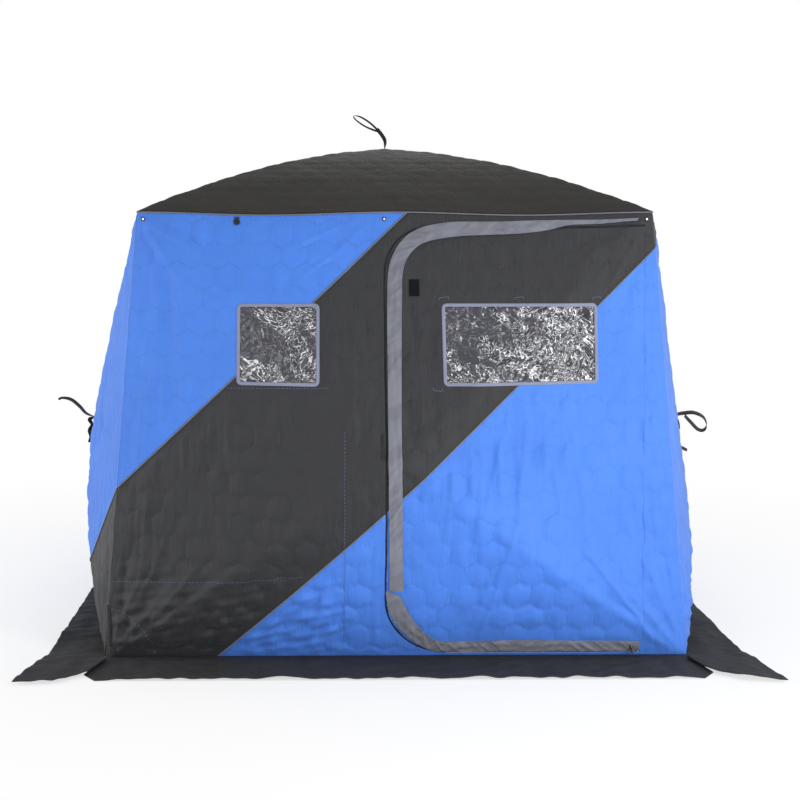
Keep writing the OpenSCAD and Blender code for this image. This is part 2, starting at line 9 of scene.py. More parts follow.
import bmesh
import bpy
import numpy as np
from bpy.props import FloatProperty, FloatVectorProperty, IntProperty, PointerProperty
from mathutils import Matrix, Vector


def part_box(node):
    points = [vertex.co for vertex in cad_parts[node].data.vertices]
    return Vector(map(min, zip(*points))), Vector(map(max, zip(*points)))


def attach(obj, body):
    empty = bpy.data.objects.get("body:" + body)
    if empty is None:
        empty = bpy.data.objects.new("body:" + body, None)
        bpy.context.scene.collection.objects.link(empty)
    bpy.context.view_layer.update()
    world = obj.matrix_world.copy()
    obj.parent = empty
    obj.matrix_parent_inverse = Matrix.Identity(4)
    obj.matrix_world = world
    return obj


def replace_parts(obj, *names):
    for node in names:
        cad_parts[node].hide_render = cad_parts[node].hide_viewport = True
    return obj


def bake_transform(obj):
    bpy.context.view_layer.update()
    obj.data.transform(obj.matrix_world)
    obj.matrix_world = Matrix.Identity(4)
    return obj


bl_info = {
    "name": "Ice Fishing Hut",
    "version": (1, 0, 0),
    "blender": (4, 5, 0),
    "location": "3D View > Sidebar > Ice Hut",
    "description": "Fabric, windows, door, straps and stage of a pop-up ice fishing hut",
    "category": "Add Mesh",
}

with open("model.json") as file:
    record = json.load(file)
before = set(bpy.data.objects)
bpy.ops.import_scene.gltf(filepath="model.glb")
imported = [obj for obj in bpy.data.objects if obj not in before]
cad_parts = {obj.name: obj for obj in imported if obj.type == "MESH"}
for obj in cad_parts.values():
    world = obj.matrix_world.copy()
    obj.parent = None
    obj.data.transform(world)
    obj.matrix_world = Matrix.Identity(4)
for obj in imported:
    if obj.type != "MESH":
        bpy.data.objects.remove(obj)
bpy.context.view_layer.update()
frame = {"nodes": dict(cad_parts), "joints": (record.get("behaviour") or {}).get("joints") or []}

# Quarter turns that take a piece drawn on the front wall to each wall
TURNS = {"front": 0, "right": 1, "back": 2, "left": 3}
ROOT3 = math.sqrt(3)
# Past the edge of every piece of cloth
FAR = 2
# How far cloth stays off the ice and off what it is stretched over
CLEAR = 0.0004
# How far from its stitching a hexagon of quilting comes near its full height
PUFF_REACH = 0.018
# Height of the black strip over the door
HEADER = 0.09
# Diameter of the piping in the band's seams
PIPING = 0.0055


def linear(code):
    """Turns an sRGB hex colour to Blender's linear numbers."""
    parts = [int(code[i : i + 2], 16) / 255 for i in (0, 2, 4)]
    return [c / 12.92 if c <= 0.04045 else ((c + 0.055) / 1.055) ** 2.4 for c in parts]


# ---- Settings that a user would change ----


def length(name, about, default):
    """A length setting in metres."""
    return FloatProperty(name=name, description=about, default=default, unit="LENGTH")


def colour(name, about, code):
    """A colour setting whose default is an sRGB hex value."""
    return FloatVectorProperty(
        name=name, description=about, subtype="COLOR", size=3, min=0, max=1, default=linear(code)
    )


class HutShape(bpy.types.PropertyGroup):
    """Sizes of the stretched shell"""

    base_width: length("Base width", "Width of the footprint", 2.25)
    eave_width: length("Eave width", "Width of the square eave", 2.026)
    eave_height: length("Eave height", "Eave above the ice", 1.72)
    roof_rise: length("Roof rise", "Crown above the eave", 0.306)
    hub_height: length("Hub height", "Wall hubs above the ice", 0.785)
    hub_reach: length("Hub reach", "How far a popped wall stands out past its foot", 0.225)
    lower_bow: length("Lower bow", "Bow of the lower wall poles", 0.05)
    upper_bow: length("Upper bow", "Bow of the upper wall poles", 0.005)
    roof_bow: length("Roof bow", "Bow of the roof poles", 0.05)
    fabric: length("Fabric", "Thickness of the quilted fabric", 0.006)
    eave_dip: length("Eave dip", "How far the eave hangs between its middle and a corner", 0.012)


class HutBand(bpy.types.PropertyGroup):
    """Places of the black band's slanting seams"""

    top_x: length("Top", "Upper seam at the eave", 0.045)
    left_z: length("Left", "Upper seam on the left edge", 0.65)
    foot_x: length("Foot", "Lower seam at the ice", 0.697)
    right_drop: length("Right", "Lower seam below the eave", 0.14)
    corner_foot: length("Corner foot", "Side corner along the foot", 0.7)
    corner_eave: length("Corner eave", "Side corner along the eave", 0.15)


class HutDoor(bpy.types.PropertyGroup):
    """Sizes of the door, its zip and its flaps"""

    left: length("Zip line", "Zip left of the middle", 0.045)
    sill: length("Sill", "Door's lower edge", 0.022)
    head: length("Head", "Door's upper edge below the eave", 0.055)
    inset_sill: length("Hinge at sill", "From the wall's edge", 0.184)
    inset_head: length("Hinge at head", "From the wall's edge", 0.037)
    top_radius: length("Top radius", "Upper corner", 0.19)
    foot_radius: length("Foot radius", "Lower corner", 0.235)
    gap: length("Gap", "Running gap at the zip", 0.007)
    flap_width: length("Flap width", "Storm flap over the zip", 0.052)
    hem_bend: length("Hinge bend", "Fabric that bends at the hinge", 0.07)


class HutWindows(bpy.types.PropertyGroup):
    """Sizes and places of the windows"""

    height: length("Height", "Height of every window", 0.308)
    small_width: length("Small width", "Small window", 0.316)
    door_width: length("Door width", "Door window", 0.605)
    drop: length("Drop", "Window tops below the eave", 0.352)
    small_x: length("Small place", "Left of the middle", 0.456)
    door_x: length("Door place", "Right of the middle", 0.473)
    binding: length("Binding", "Width of the tape", 0.013)
    radius: length("Radius", "Binding's corners", 0.018)


class HutQuilt(bpy.types.PropertyGroup):
    """The quilting, and how finely it is meshed"""

    cell: length("Cell", "Hexagon across its flats", 0.1)
    puff: length("Puff", "Height of a hexagon's middle", 0.0105)
    front_steps: IntProperty(name="Front steps", description="Mesh steps in half a cell, front", default=6)
    other_steps: IntProperty(name="Other steps", description="Mesh steps in half a cell", default=4)


class HutColours(bpy.types.PropertyGroup):
    """Colours of the cloths, tapes and thread"""

    blue: colour("Blue", "Blue quilted fabric", "4073cc")
    black: colour("Black", "Black quilted fabric", "1b1c20")
    roof: colour("Roof", "Roof fabric", "262523")
    skirt: colour("Skirt", "Skirt fabric", "2d2d2f")
    flap: colour("Flap", "Storm flaps", "6a6c76")
    binding: colour("Binding", "Tape round the windows", "7d8298")
    piping: colour("Piping", "Piping in the seams", "67686e")
    lining: colour("Lining", "Inside of the quilted fabric", "2a2b2e")
    webbing: colour("Webbing", "Pull straps", "161719")
    stitch: colour("Stitches", "Thread on the black fabric", "545977")


class HutSettings(bpy.types.PropertyGroup):
    """All the settings of the hut"""

    shape: PointerProperty(type=HutShape)
    band: PointerProperty(type=HutBand)
    door: PointerProperty(type=HutDoor)
    windows: PointerProperty(type=HutWindows)
    quilt: PointerProperty(type=HutQuilt)
    colours: PointerProperty(type=HutColours)


def hut():
    """The settings of this scene's hut."""
    return bpy.context.scene.hut


# ---- Surfaces of the stretched fabric ----


def half_at(z):
    """Half the width of the hut at height z."""
    s = hut().shape
    return s.base_width / 2 + (s.eave_width - s.base_width) / 2 * z / s.eave_height


def line_height(v):
    """Height of a wall's grid line v, from -1 at the ice through 0 at the hub to 1 at the eave."""
    s = hut().shape
    return s.hub_height + np.where(v < 0, s.hub_height, s.eave_height - s.hub_height) * v


def line_at(z):
    """The wall's grid line at height z."""
    s = hut().shape
    return (z - s.hub_height) / np.where(z < s.hub_height, s.hub_height, s.eave_height - s.hub_height)


def pole_out(v):
    """How far out the wall stands over a pole, at grid line v."""
    s = hut().shape
    bulge = s.base_width / 2 + s.hub_reach - half_at(s.hub_height)
    bow = 4 * np.where(v < 0, s.lower_bow, s.upper_bow) * np.abs(v) * (1 - np.abs(v))
    return half_at(line_height(v)) + bulge * (1 - np.abs(v)) + bow


def wall_out(x, z):
    """How far out the wall stands: straight between its two nearest poles."""
    u = np.clip(np.abs(x / half_at(z)), 1e-5, 1)
    v = line_at(z)
    low, high = line_height(-u), line_height(u)
    rise = (z - low) / (high - low)
    gore = pole_out(-u) + (pole_out(u) - pole_out(-u)) * rise
    # the quilted cloth rounds off the crease over a pole
    return gore + (pole_out(v) - gore) * smooth(np.abs(v) - u, -0.06, 0.06)


def smooth(value, low, high):
    """0 below low, 1 above high and an eased step between."""
    t = np.clip((value - low) / (high - low), 0, 1)
    return t * t * (3 - 2 * t)


def eave_drop(x, z):
    """How far the top of a wall hangs with the eave."""
    s = hut().shape
    wave = np.sin(math.pi * np.clip(x / (s.eave_width / 2), -1, 1)) ** 2
    return s.eave_dip * wave * smooth(z, s.eave_height - 0.35, s.eave_height)


def unit(arrows):
    """Arrows of length 1 in the same directions."""
    return arrows / np.linalg.norm(arrows, axis=-1, keepdims=True)


def turned(points, side):
    """Takes points on the front wall to another wall."""
    x, y, z = points[..., 0], points[..., 1], points[..., 2]
    for _ in range(TURNS[side]):
        x, y = -y, x
    return np.stack([x, y, z], -1)


def on_wall(side, x, z, proud=0.0):
    """The point of a wall at sideways place x and height z, proud of its plain surface."""
    x, z, proud = np.broadcast_arrays(np.asarray(x, float), z, proud)
    y = -wall_out(x, z) - proud
    return turned(np.stack([x, y, z - eave_drop(x, z)], -1), side)


def wall_directions(side, x, z):
    """Square-on outward, sideways and upward directions of a wall at those places."""
    step = 0.004
    across = on_wall(side, x + step, z) - on_wall(side, x - step, z)
    up = on_wall(side, x, z + step) - on_wall(side, x, z - step)
    out = np.cross(across, up)
    return unit(out), unit(across), unit(up)


def roof_place(x, y, proud=0.0):
    """The point of the roof over x and y, proud of its plain surface."""
    s = hut().shape
    half = s.eave_width / 2
    far = np.clip(np.maximum(np.abs(x), np.abs(y)) / half, 0, 1)
    near = np.minimum(np.abs(x), np.abs(y)) / half
    height = s.eave_height + s.roof_rise - s.roof_rise * far + 4 * s.roof_bow * far * (1 - far)
    dip = np.sin(math.pi * np.clip(near / np.maximum(far, 1e-4), 0, 1)) ** 2
    drop = s.eave_dip * dip * smooth(far, 0.6, 1)
    return np.stack([x, y, height - drop + proud], -1)


# ---- Outlines, as (sideways, upward) places on a wall ----


def hinge_x(z):
    """Sideways place of the door's sewn edge at height z."""
    s, d = hut().shape, hut().door
    head = s.eave_height - d.head
    low, high = half_at(d.sill) - d.inset_sill, half_at(head) - d.inset_head
    return low + (high - low) * (z - d.sill) / (head - d.sill)


def arc(cx, cz, radius, start, end, steps=12):
    """Points of an arc, with its angles in degrees."""
    angles = np.radians(np.linspace(start, end, steps + 1))
    return np.stack([cx + radius * np.cos(angles), cz + radius * np.sin(angles)], -1)


def door_line(inset):
    """The zipped edge of the door, drawn in by inset, from the hinge's head round to its sill."""
    s, d = hut().shape, hut().door
    low, high, left = d.sill + inset, s.eave_height - d.head - inset, inset - d.left
    top, foot = d.top_radius - inset, d.foot_radius - inset
    return np.concatenate(
        [
            [[hinge_x(high), high]], arc(left + top, high - top, top, 90, 180),
            arc(left + foot, low + foot, foot, 180, 270), [[hinge_x(low), low]],
        ]
    )


def window_box(x, width, grow=0.0):
    """Left, right, lower and upper edges of a window's opening."""
    s, w = hut().shape, hut().windows
    top = s.eave_height - w.drop + grow - w.binding / 2
    half = width / 2 - w.binding / 2 + grow
    return x - half, x + half, top - w.height + w.binding - 2 * grow, top


def in_box(x, z, box):
    """Whether each place lies inside a box of left, right, lower and upper edges."""
    return (x > box[0]) & (x < box[1]) & (z > box[2]) & (z < box[3])


def wall_windows(side):
    """Sideways place and width of each window in a wall."""
    w = hut().windows
    if side in ("left", "right"):
        return [(0.0, w.small_width)]
    return [(-w.small_x, w.small_width), (w.door_x, w.door_width)]


def wall_seams(side):
    """The two slanting seams of a wall: each as its two ends."""
    s, b = hut().shape, hut().band
    right_z = s.eave_height - b.right_drop
    if side in ("front", "back"):
        return [
            ((-half_at(b.left_z), b.left_z), (b.top_x, s.eave_height)),
            ((-b.foot_x, 0.0), (half_at(right_z), right_z)),
        ]
    return [
        ((-half_at(right_z), right_z), (-s.eave_width / 2 + b.corner_eave, s.eave_height)),
        ((s.base_width / 2 - b.corner_foot, 0.0), (half_at(b.left_z), b.left_z)),
    ]


def above(line, x, z):
    """How far each place lies above a slanting line."""
    (x1, z1), (x2, z2) = line
    return ((z - z1) * (x2 - x1) - (x - x1) * (z2 - z1)) / math.hypot(x2 - x1, z2 - z1)


def from_line(points, x, z):
    """Distance of each place from a run of straight lines."""
    best = np.full(np.shape(x), 9.0)
    for (x1, z1), (x2, z2) in zip(points[:-1], points[1:]):
        run = max((x2 - x1) ** 2 + (z2 - z1) ** 2, 1e-12)
        t = np.clip(((x - x1) * (x2 - x1) + (z - z1) * (z2 - z1)) / run, 0, 1)
        best = np.minimum(best, np.hypot(x - x1 - t * (x2 - x1), z - z1 - t * (z2 - z1)))
    return best


def inside(points, x, z):
    """Whether each place lies inside a closed outline."""
    odd = np.zeros(np.shape(x), bool)
    for (x1, z1), (x2, z2) in zip(points, np.roll(points, -1, 0)):
        if z1 != z2:
            odd ^= ((z1 > z) != (z2 > z)) & (x < (x2 - x1) * (z - z1) / (z2 - z1) + x1)
    return odd


# ---- Relief of the quilting and the folds ----


def stitch_distance(x, y, cell):
    """Distance of each place from the nearest line of quilting, and a fixed random number for its cell."""
    # the rows are not quite true
    x, y = x + 0.006 * ripples(x, y, 0.24, 61), y + 0.005 * ripples(x, y, 0.2, 62)
    best, soft, tag = np.full(np.shape(x), 9.0), np.zeros(np.shape(x)), np.zeros(np.shape(x))
    for shift_x, shift_y in ((0, 0), (cell / 2, cell * ROOT3 / 2)):
        px = np.round((x - shift_x) / cell) * cell + shift_x
        py = np.round((y - shift_y) / (cell * ROOT3)) * cell * ROOT3 + shift_y
        dx, dy = x - px, y - py
        slant = np.maximum(np.abs(dx / 2 + dy * ROOT3 / 2), np.abs(dx / 2 - dy * ROOT3 / 2))
        reach = np.maximum(np.abs(dx), slant)
        mark = np.abs(np.sin(px * 127.1 / cell + py * 311.7 / cell) * 43758.5453) % 1
        tag = np.where(reach < best, mark, tag)
        # the upright lines pull less than the zigzag rows between them
        soft = np.where(reach < best, np.maximum(np.abs(dx) - 0.0025, slant), soft)
        best = np.minimum(best, reach)
    return np.maximum(cell / 2 - soft, 0), tag


def ripples(x, y, size, seed):
    """Smooth random height from about -1 to 1, with swells about size across."""
    chance = np.random.default_rng(seed)
    total = np.zeros(np.broadcast(x, y).shape)
    for _ in range(8):
        way, phase = chance.uniform(0, 2 * math.pi, 2)
        rate = 2 * math.pi / size * chance.uniform(0.6, 1.6)
        total += np.sin(rate * (x * math.cos(way) + y * math.sin(way)) + phase)
    return total / 4


def folds(x, z, lines):
    """Height of long soft folds. Each is x and z of both ends, half width and height."""
    total = np.zeros(np.shape(x))
    for x1, z1, x2, z2, width, height in lines:
        run = math.hypot(x2 - x1, z2 - z1)
        along = ((x - x1) * (x2 - x1) + (z - z1) * (z2 - z1)) / run**2
        across = ((x - x1) * (z2 - z1) - (z - z1) * (x2 - x1)) / run
        swell = np.sin(math.pi * np.clip(along, 0, 1)) ** 0.7
        total += height * swell * np.exp(-((across / width) ** 2))
    return total


def fan(x, z, reach, turns, width, height):
    """Fold lines that spread from a corner, at turns in degrees."""
    lines = []
    for k, turn in enumerate(turns):
        angle = math.radians(turn)
        start, end = 0.03, reach * (1 - 0.25 * (k % 2))
        lines.append(
            (
                x + start * math.cos(angle), z + start * math.sin(angle), x + end * math.cos(angle),
                z + end * math.sin(angle), width * (1 + 0.3 * (k % 3)), height * (1 if k % 2 else -0.7),
            )
        )
    return lines


# x and z of both ends, half width and height of the front wall's own folds
FRONT_FOLDS = [
    (0.3, 0.06, 0.385, 0.32, 0.01, 0.011), (0.355, 0.24, 0.46, 0.6, 0.011, 0.01),
    (0.25, 0.08, 0.36, 0.46, 0.014, -0.007), (0.43, 0.5, 0.5, 0.95, 0.012, 0.006),
    (0.28, 0.42, 0.33, 0.85, 0.01, 0.006), (0.7, 0.44, 0.86, 0.25, 0.01, 0.01),
    (-0.62, 1.36, -0.82, 1.6, 0.008, 0.005), (-0.64, 1.34, -0.9, 1.5, 0.008, 0.004),
    (-0.1, 1.68, -0.42, 1.42, 0.009, 0.005), (-0.14, 1.7, -0.5, 1.56, 0.009, 0.004),
    (0.42, 0.98, 0.3, 0.5, 0.01, 0.007), (0.58, 0.86, 0.62, 0.5, 0.009, 0.006),
    (0.2, 0.75, 0.17, 0.42, 0.01, 0.005), (0.82, 0.31, 1.0, 0.05, 0.011, 0.011),
    (0.62, 0.42, 0.5, 0.14, 0.012, 0.008), (0.66, 0.95, 0.74, 0.4, 0.012, 0.005),
    (1.0, 0.42, 1.05, 0.1, 0.01, -0.008), (-0.085, 0.02, -0.07, 0.72, 0.011, 0.009),
    (-0.2, 0.5, -0.16, 1.3, 0.012, 0.004), (-0.33, 0.04, -0.25, 0.42, 0.011, 0.007),
    (-1.0, 0.08, -0.72, 0.42, 0.011, 0.009), (-1.02, 0.16, -0.86, 0.52, 0.011, 0.007),
    (-0.7, 0.1, -0.52, 0.3, 0.012, 0.006), (-0.065, 0.3, -0.062, 1.35, 0.01, 0.004),
    (-0.98, 0.25, -0.93, 1.62, 0.03, 0.006), (-0.86, 0.9, -0.9, 1.66, 0.02, -0.004),
    (0.86, 0.15, 0.93, 1.5, 0.03, 0.006), (0.78, 0.1, 0.86, 0.8, 0.02, -0.004),
]


def wall_folds(side):
    """The tension folds of one wall."""
    s = hut().shape
    base, eave, top = s.base_width / 2, s.eave_width / 2, s.eave_height
    lines = fan(-base, 0, 0.55, (38, 48, 57, 66, 76), 0.011, 0.008)
    lines += fan(base, 0, 0.55, (142, 132, 123, 114, 104), 0.011, 0.008)
    lines += fan(-eave, top, 0.5, (-22, -33, -45, -57, -70), 0.012, 0.006)
    lines += fan(eave, top, 0.5, (-158, -147, -135, -123, -110), 0.012, 0.006)
    if side == "front":
        lines += FRONT_FOLDS
    return lines


def edge_distance(side, x, z):
    """Distance of each place from the nearest edge, seam, zip or window of a wall."""
    d, w = hut().door, hut().windows
    edge = np.minimum(half_at(z) - np.abs(x), np.minimum(z, hut().shape.eave_height - z))
    for line in wall_seams(side):
        edge = np.minimum(edge, from_line(line, x, z))
    if side == "front":
        edge = np.minimum(edge, np.abs(from_line(door_line(0), x, z) - d.flap_width / 2))
    for place, width in wall_windows(side):
        left, right, low, high = window_box(place, width)
        off = np.maximum(np.maximum(left - x, x - right), np.maximum(low - z, z - high))
        edge = np.minimum(edge, np.abs(off - w.binding / 2))
    return np.maximum(edge, 0)


def relief(side, x, z, edge):
    """How far the outer cloth stands off the plain surface of a wall, in and out."""
    q = hut().quilt
    distance, tag = stitch_distance(x, z, q.cell)
    full = smooth(edge, 0.002, 0.045)
    # the cloth is drawn tight above the hubs and hangs fuller below them
    slack = 0.62 + 0.5 * smooth(z, 1.2, 0.6)
    slack = slack * (0.75 + 0.35 * np.clip(ripples(x, z, 0.7, 3), -1, 1))
    if side in ("left", "right"):
        slack = 0.6 * slack
    puff = q.puff * (1 - np.exp(-distance / PUFF_REACH)) * (0.6 + 0.8 * tag) * slack
    # short upright gathers, fullest at the height of the hubs
    level = 0.25 + 0.75 * np.exp(-(((z - 0.85) / 0.38) ** 2))
    some = np.clip(0.4 + ripples(x, z, 0.4, 9), 0, 1)
    gather = 0.0052 * ripples(x + 0.1 * z, z * 0.2, 0.05, 5) * some * level
    # wider ones from the eave to the ice
    most = 0.5 + 0.5 * np.clip(ripples(x, z, 0.6, 15), -1, 1)
    hang = 0.0036 * ripples(x, z * 0.12, 0.11, 13) * most
    # close lines beside the corners, where the cloth is pulled down its edge
    beside = smooth(half_at(z) - np.abs(x), 0.22, 0.06)
    drawn = 0.0022 * ripples(np.abs(x) + 0.065 * z, z * 0.05, 0.032, 19) * beside
    # crumpled cloth at the foot
    crumple = 0.009 * ripples(x * 0.55 + z * 0.5, z - x * 0.5, 0.065, 57) * smooth(z, 0.45, 0.18)
    crumple = crumple * smooth(x, -0.15, -0.24)
    swell = 0.0022 * ripples(x, z, 0.32, 7 + TURNS[side]) + 0.0012 * ripples(x, z, 0.12, 11)
    crease = smooth(edge, 0, 0.03) * folds(x, z, wall_folds(side))
    return full * (puff - 0.4 * q.puff * slack + swell + gather + hang + drawn + crumple) + crease


# ---- Mesh helpers ----


def flat_weave(width, height, steps):
    """A flat sheet whose threads of vertices run along the sides of the quilting's hexagons."""
    cell = hut().quilt.cell
    step = cell / 2 / steps
    rise = 2 * step / ROOT3
    columns = 2 * math.ceil(width / 2 / step) + 4
    rows = math.ceil(height / rise) + 6
    bm = bmesh.new()
    made = bmesh.ops.create_grid(bm, x_segments=columns, y_segments=rows, size=1)["verts"]
    for k, vert in enumerate(made):
        row, column = divmod(k, columns + 1)
        column -= columns // 2
        vert.co = (column * step, (row - 3 + (column % 2) / 2) * rise, 0)
    bmesh.ops.triangulate(bm, faces=bm.faces[:], quad_method="SHORT_EDGE")
    return bm


def cut_straight(bm, line, clear_above=False, clear_below=False):
    """Cuts the whole flat sheet along a line, and drops what lies above or below it."""
    (x1, y1), (x2, y2) = line
    bmesh.ops.bisect_plane(
        bm, geom=bm.verts[:] + bm.edges[:] + bm.faces[:], dist=1e-5, plane_co=(x1, y1, 0),
        plane_no=(y1 - y2, x2 - x1, 0), clear_outer=clear_above, clear_inner=clear_below,
    )


def cut_along(bm, points, reach=0.016):
    """Cuts the flat sheet along a run of straight lines, only near them."""
    for (x1, y1), (x2, y2) in zip(points[:-1], points[1:]):
        run = math.hypot(x2 - x1, y2 - y1)
        if run < 1e-6:
            continue
        middle, half = Vector(((x1 + x2) / 2, (y1 + y2) / 2, 0)), run / 2 + reach
        side = Vector((y1 - y2, x2 - x1, 0)) / run
        near = []
        for face in bm.faces:
            off = face.calc_center_median() - middle
            if abs(off.dot(side)) < reach and off.length < half:
                near.append(face)
        verts = {v for f in near for v in f.verts}
        edges = {e for f in near for e in f.edges}
        bmesh.ops.bisect_plane(
            bm, geom=list(verts) + list(edges) + near, dist=1e-5, plane_co=(x1, y1, 0), plane_no=side,
        )


def centres(bm):
    """Sideways and upward places of the middles of a flat sheet's faces."""
    places = np.array([f.calc_center_median()[:2] for f in bm.faces])
    return places[:, 0], places[:, 1]


def cut_size(points):
    """Width and length of the smallest of several turned boxes round a cut of cloth."""
    best = None
    for turn in range(0, 90, 3):
        c, s = math.cos(math.radians(turn)), math.sin(math.radians(turn))
        wide = np.ptp(points[:, 0] * c + points[:, 1] * s)
        long = np.ptp(points[:, 1] * c - points[:, 0] * s)
        if best is None or wide * long < best[0] * best[1]:
            best = (wide, long)
    return (float(best[0]) + 1e-4, float(best[1]) + 1e-4)


def finished(name, bm):
    """The mesh of a bmesh, which is then freed."""
    mesh = bpy.data.meshes.new(name)
    bm.to_mesh(mesh)
    bm.free()
    return mesh


def link(name, mesh, body, materials):
    """Makes a mesh an object at the origin that rides on a body."""
    piece = bpy.data.objects.new(name, mesh)
    bpy.context.scene.collection.objects.link(piece)
    for material in materials:
        mesh.materials.append(material)
    if body:
        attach(piece, body)
    return piece


def cloth_piece(name, flat, keep, place, thickness, materials, body):
    """Cuts a piece from a flat sheet, gives it two faces and lays it out with place(x, y, outer)."""
    bm = flat.copy()
    bm.faces.ensure_lookup_table()
    bmesh.ops.delete(bm, geom=[f for f, kept in zip(bm.faces, keep) if not kept], context="FACES")
    bmesh.ops.dissolve_degenerate(bm, dist=0.0004, edges=bm.edges[:])
    bmesh.ops.triangulate(bm, faces=bm.faces[:])
    area = sum(f.calc_area() for f in bm.faces)
    bmesh.ops.solidify(bm, geom=bm.faces[:], thickness=thickness)
    bmesh.ops.recalc_face_normals(bm, faces=bm.faces[:])
    mesh = finished(name, bm)
    co = np.zeros(len(mesh.vertices) * 3)
    mesh.vertices.foreach_get("co", co)
    co = co.reshape(-1, 3)
    outer = co[:, 2] > co[:, 2].mean()
    x, y = co[:, 0].copy(), co[:, 1].copy()
    distance, _ = stitch_distance(x, y, hut().quilt.cell)
    mesh.vertices.foreach_set("co", place(x, y, outer).astype(np.float32).ravel())
    mesh.attributes.new("quilt", "FLOAT", "POINT").data.foreach_set("value", distance.astype(np.float32))
    corners = np.zeros(len(mesh.loops), np.int32)
    mesh.loops.foreach_get("vertex_index", corners)
    spread = np.stack([x[corners], y[corners]], -1)
    mesh.uv_layers.new(name="cloth").data.foreach_set("uv", spread.astype(np.float32).ravel())
    starts = np.zeros(len(mesh.polygons), np.int32)
    mesh.polygons.foreach_get("loop_start", starts)
    most = np.maximum.reduceat(outer[corners].astype(int), starts)
    least = np.minimum.reduceat(outer[corners].astype(int), starts)
    mesh.polygons.foreach_set("material_index", (most == 0).astype(np.int32) * (len(materials) > 1))
    mesh.polygons.foreach_set("use_smooth", most == least)
    mesh.update()
    piece = link(name, mesh, body, materials)
    return piece, float(area), cut_size(np.stack([x, y], -1))


def lay_grid(bm, places):
    """Adds a grid of faces through places[row][column]."""
    rows, columns = places.shape[:2]
    made = bmesh.ops.create_grid(bm, x_segments=columns - 1, y_segments=rows - 1, size=1)["verts"]
    for vert, place in zip(made, places.reshape(-1, 3)):
        vert.co = place


def solid_piece(name, grids, body, material, sharp=50):
    """Makes one closed piece of several grids, whose edges are welded where they meet."""
    bm = bmesh.new()
    for places in grids:
        lay_grid(bm, places)
    bmesh.ops.remove_doubles(bm, verts=bm.verts[:], dist=2e-6)
    bmesh.ops.dissolve_degenerate(bm, dist=1e-6, edges=bm.edges[:])
    bmesh.ops.recalc_face_normals(bm, faces=bm.faces[:])
    for edge in bm.edges:
        edge.smooth = not edge.is_manifold or edge.calc_face_angle(0) < math.radians(sharp)
    for face in bm.faces:
        face.smooth = True
    return link(name, finished(name, bm), body, [material])


def capped(rings):
    """Rings of places, each closed on its first, with a cap over each end."""
    ends = [np.repeat(ring[:-1].mean(0)[None], rings.shape[1], 0)[None] for ring in (rings[0], rings[-1])]
    return np.concatenate([ends[0], rings, ends[1]], 0)


def two_faced(front, back):
    """A sheet's two faces and its four rims."""
    rims = [np.stack([front[k], back[k]]) for k in (0, -1)]
    rims += [np.stack([front[:, k], back[:, k]]) for k in (0, -1)]
    return [front, back] + rims


def skin(path, sideways, outward, profile, closed=False):
    """Rings of places that carry a closed profile along a path, with capped ends or joined in a loop."""
    rings = path[:, None, :] + sideways[:, None, :] * profile[..., 0:1]
    rings = rings + outward[:, None, :] * profile[..., 1:2]
    rings = np.concatenate([rings, rings[:, :1]], 1)
    if closed:
        return np.concatenate([rings, rings[:1]], 0)
    return capped(rings)


def oval(width, height, count=8):
    """A closed round profile."""
    angles = np.linspace(0, 2 * math.pi, count, endpoint=False)
    return np.stack([np.cos(angles) * width / 2, np.sin(angles) * height / 2], -1)


def tape(width, thick):
    """A closed flat profile with softened edges."""
    w, t = width / 2, thick / 2
    c = min(w, t) * 0.6
    right = np.array([[w - c, -t], [w, -t + c], [w, t - c], [w - c, t]])
    return np.vstack([[[-w, -t + c], [-w + c, -t]], right, [[-w + c, t], [-w, t - c]]])


def spaced(points, step=None, count=None):
    """Points along a run of straight lines, about a step apart or as many as count, and its length."""
    points = np.asarray(points, float)
    far = np.concatenate([[0], np.cumsum(np.linalg.norm(np.diff(points, axis=0), axis=1))])
    count = count or max(2, int(round(far[-1] / step)) + 1)
    places = np.linspace(0, far[-1], count)
    even = [np.interp(places, far, column) for column in points.T]
    return np.stack(even, -1), float(far[-1])


def smoothed(points, parts=8):
    """A smooth curve through points, with parts steps between each two."""
    rough = np.asarray(points, float)
    t = np.linspace(0, len(rough) - 1, (len(rough) - 1) * parts + 1)
    k = np.clip(t.astype(int), 0, len(rough) - 2)
    f = (t - k)[:, None]
    before, after = rough[np.maximum(k - 1, 0)], rough[np.minimum(k + 2, len(rough) - 1)]
    a, b = rough[k], rough[k + 1]
    bend = 2 * before - 5 * a + 4 * b - after
    return 0.5 * (2 * a + (b - before) * f + bend * f**2 + (3 * a - before - 3 * b + after) * f**3)


def along_wall(side, line, profile, proud, step=0.012, closed=False, quilted=False):
    """Carries a profile along a line drawn on a wall, over its quilting where that is asked for."""
    line, _ = spaced(line, step)
    if closed:
        line = line[:-1]
    x, z = line[:, 0], line[:, 1]
    if quilted:
        proud = proud + relief(side, x, z, edge_distance(side, x, z))
    path = on_wall(side, x, z)
    ahead = unit(np.roll(path, -1, 0) - np.roll(path, 1, 0) if closed else np.gradient(path, axis=0))
    out, _, _ = wall_directions(side, x, z)
    left = unit(np.cross(out, ahead))
    return skin(path + out * np.reshape(proud, (-1, 1)), left, out, profile, closed)


# ---- Materials ----


# a Mix node's two inputs, as colours and as values
UNDER, OVER = 6, 7
LOW, HIGH = 2, 3


def add(tree, kind, given=None):
    """Adds a shader node with its settings and links. A node linked from stands for its first output."""
    made = tree.nodes.new("ShaderNode" + kind)
    for key, value in (given or {}).items():
        if isinstance(value, bpy.types.Node):
            value = next(socket for socket in value.outputs if socket.enabled)
        if isinstance(value, bpy.types.NodeSocket):
            tree.links.new(value, made.inputs[key])
        elif isinstance(key, str) and hasattr(made, key):
            setattr(made, key, value)
        else:
            made.inputs[key].default_value = value
    return made


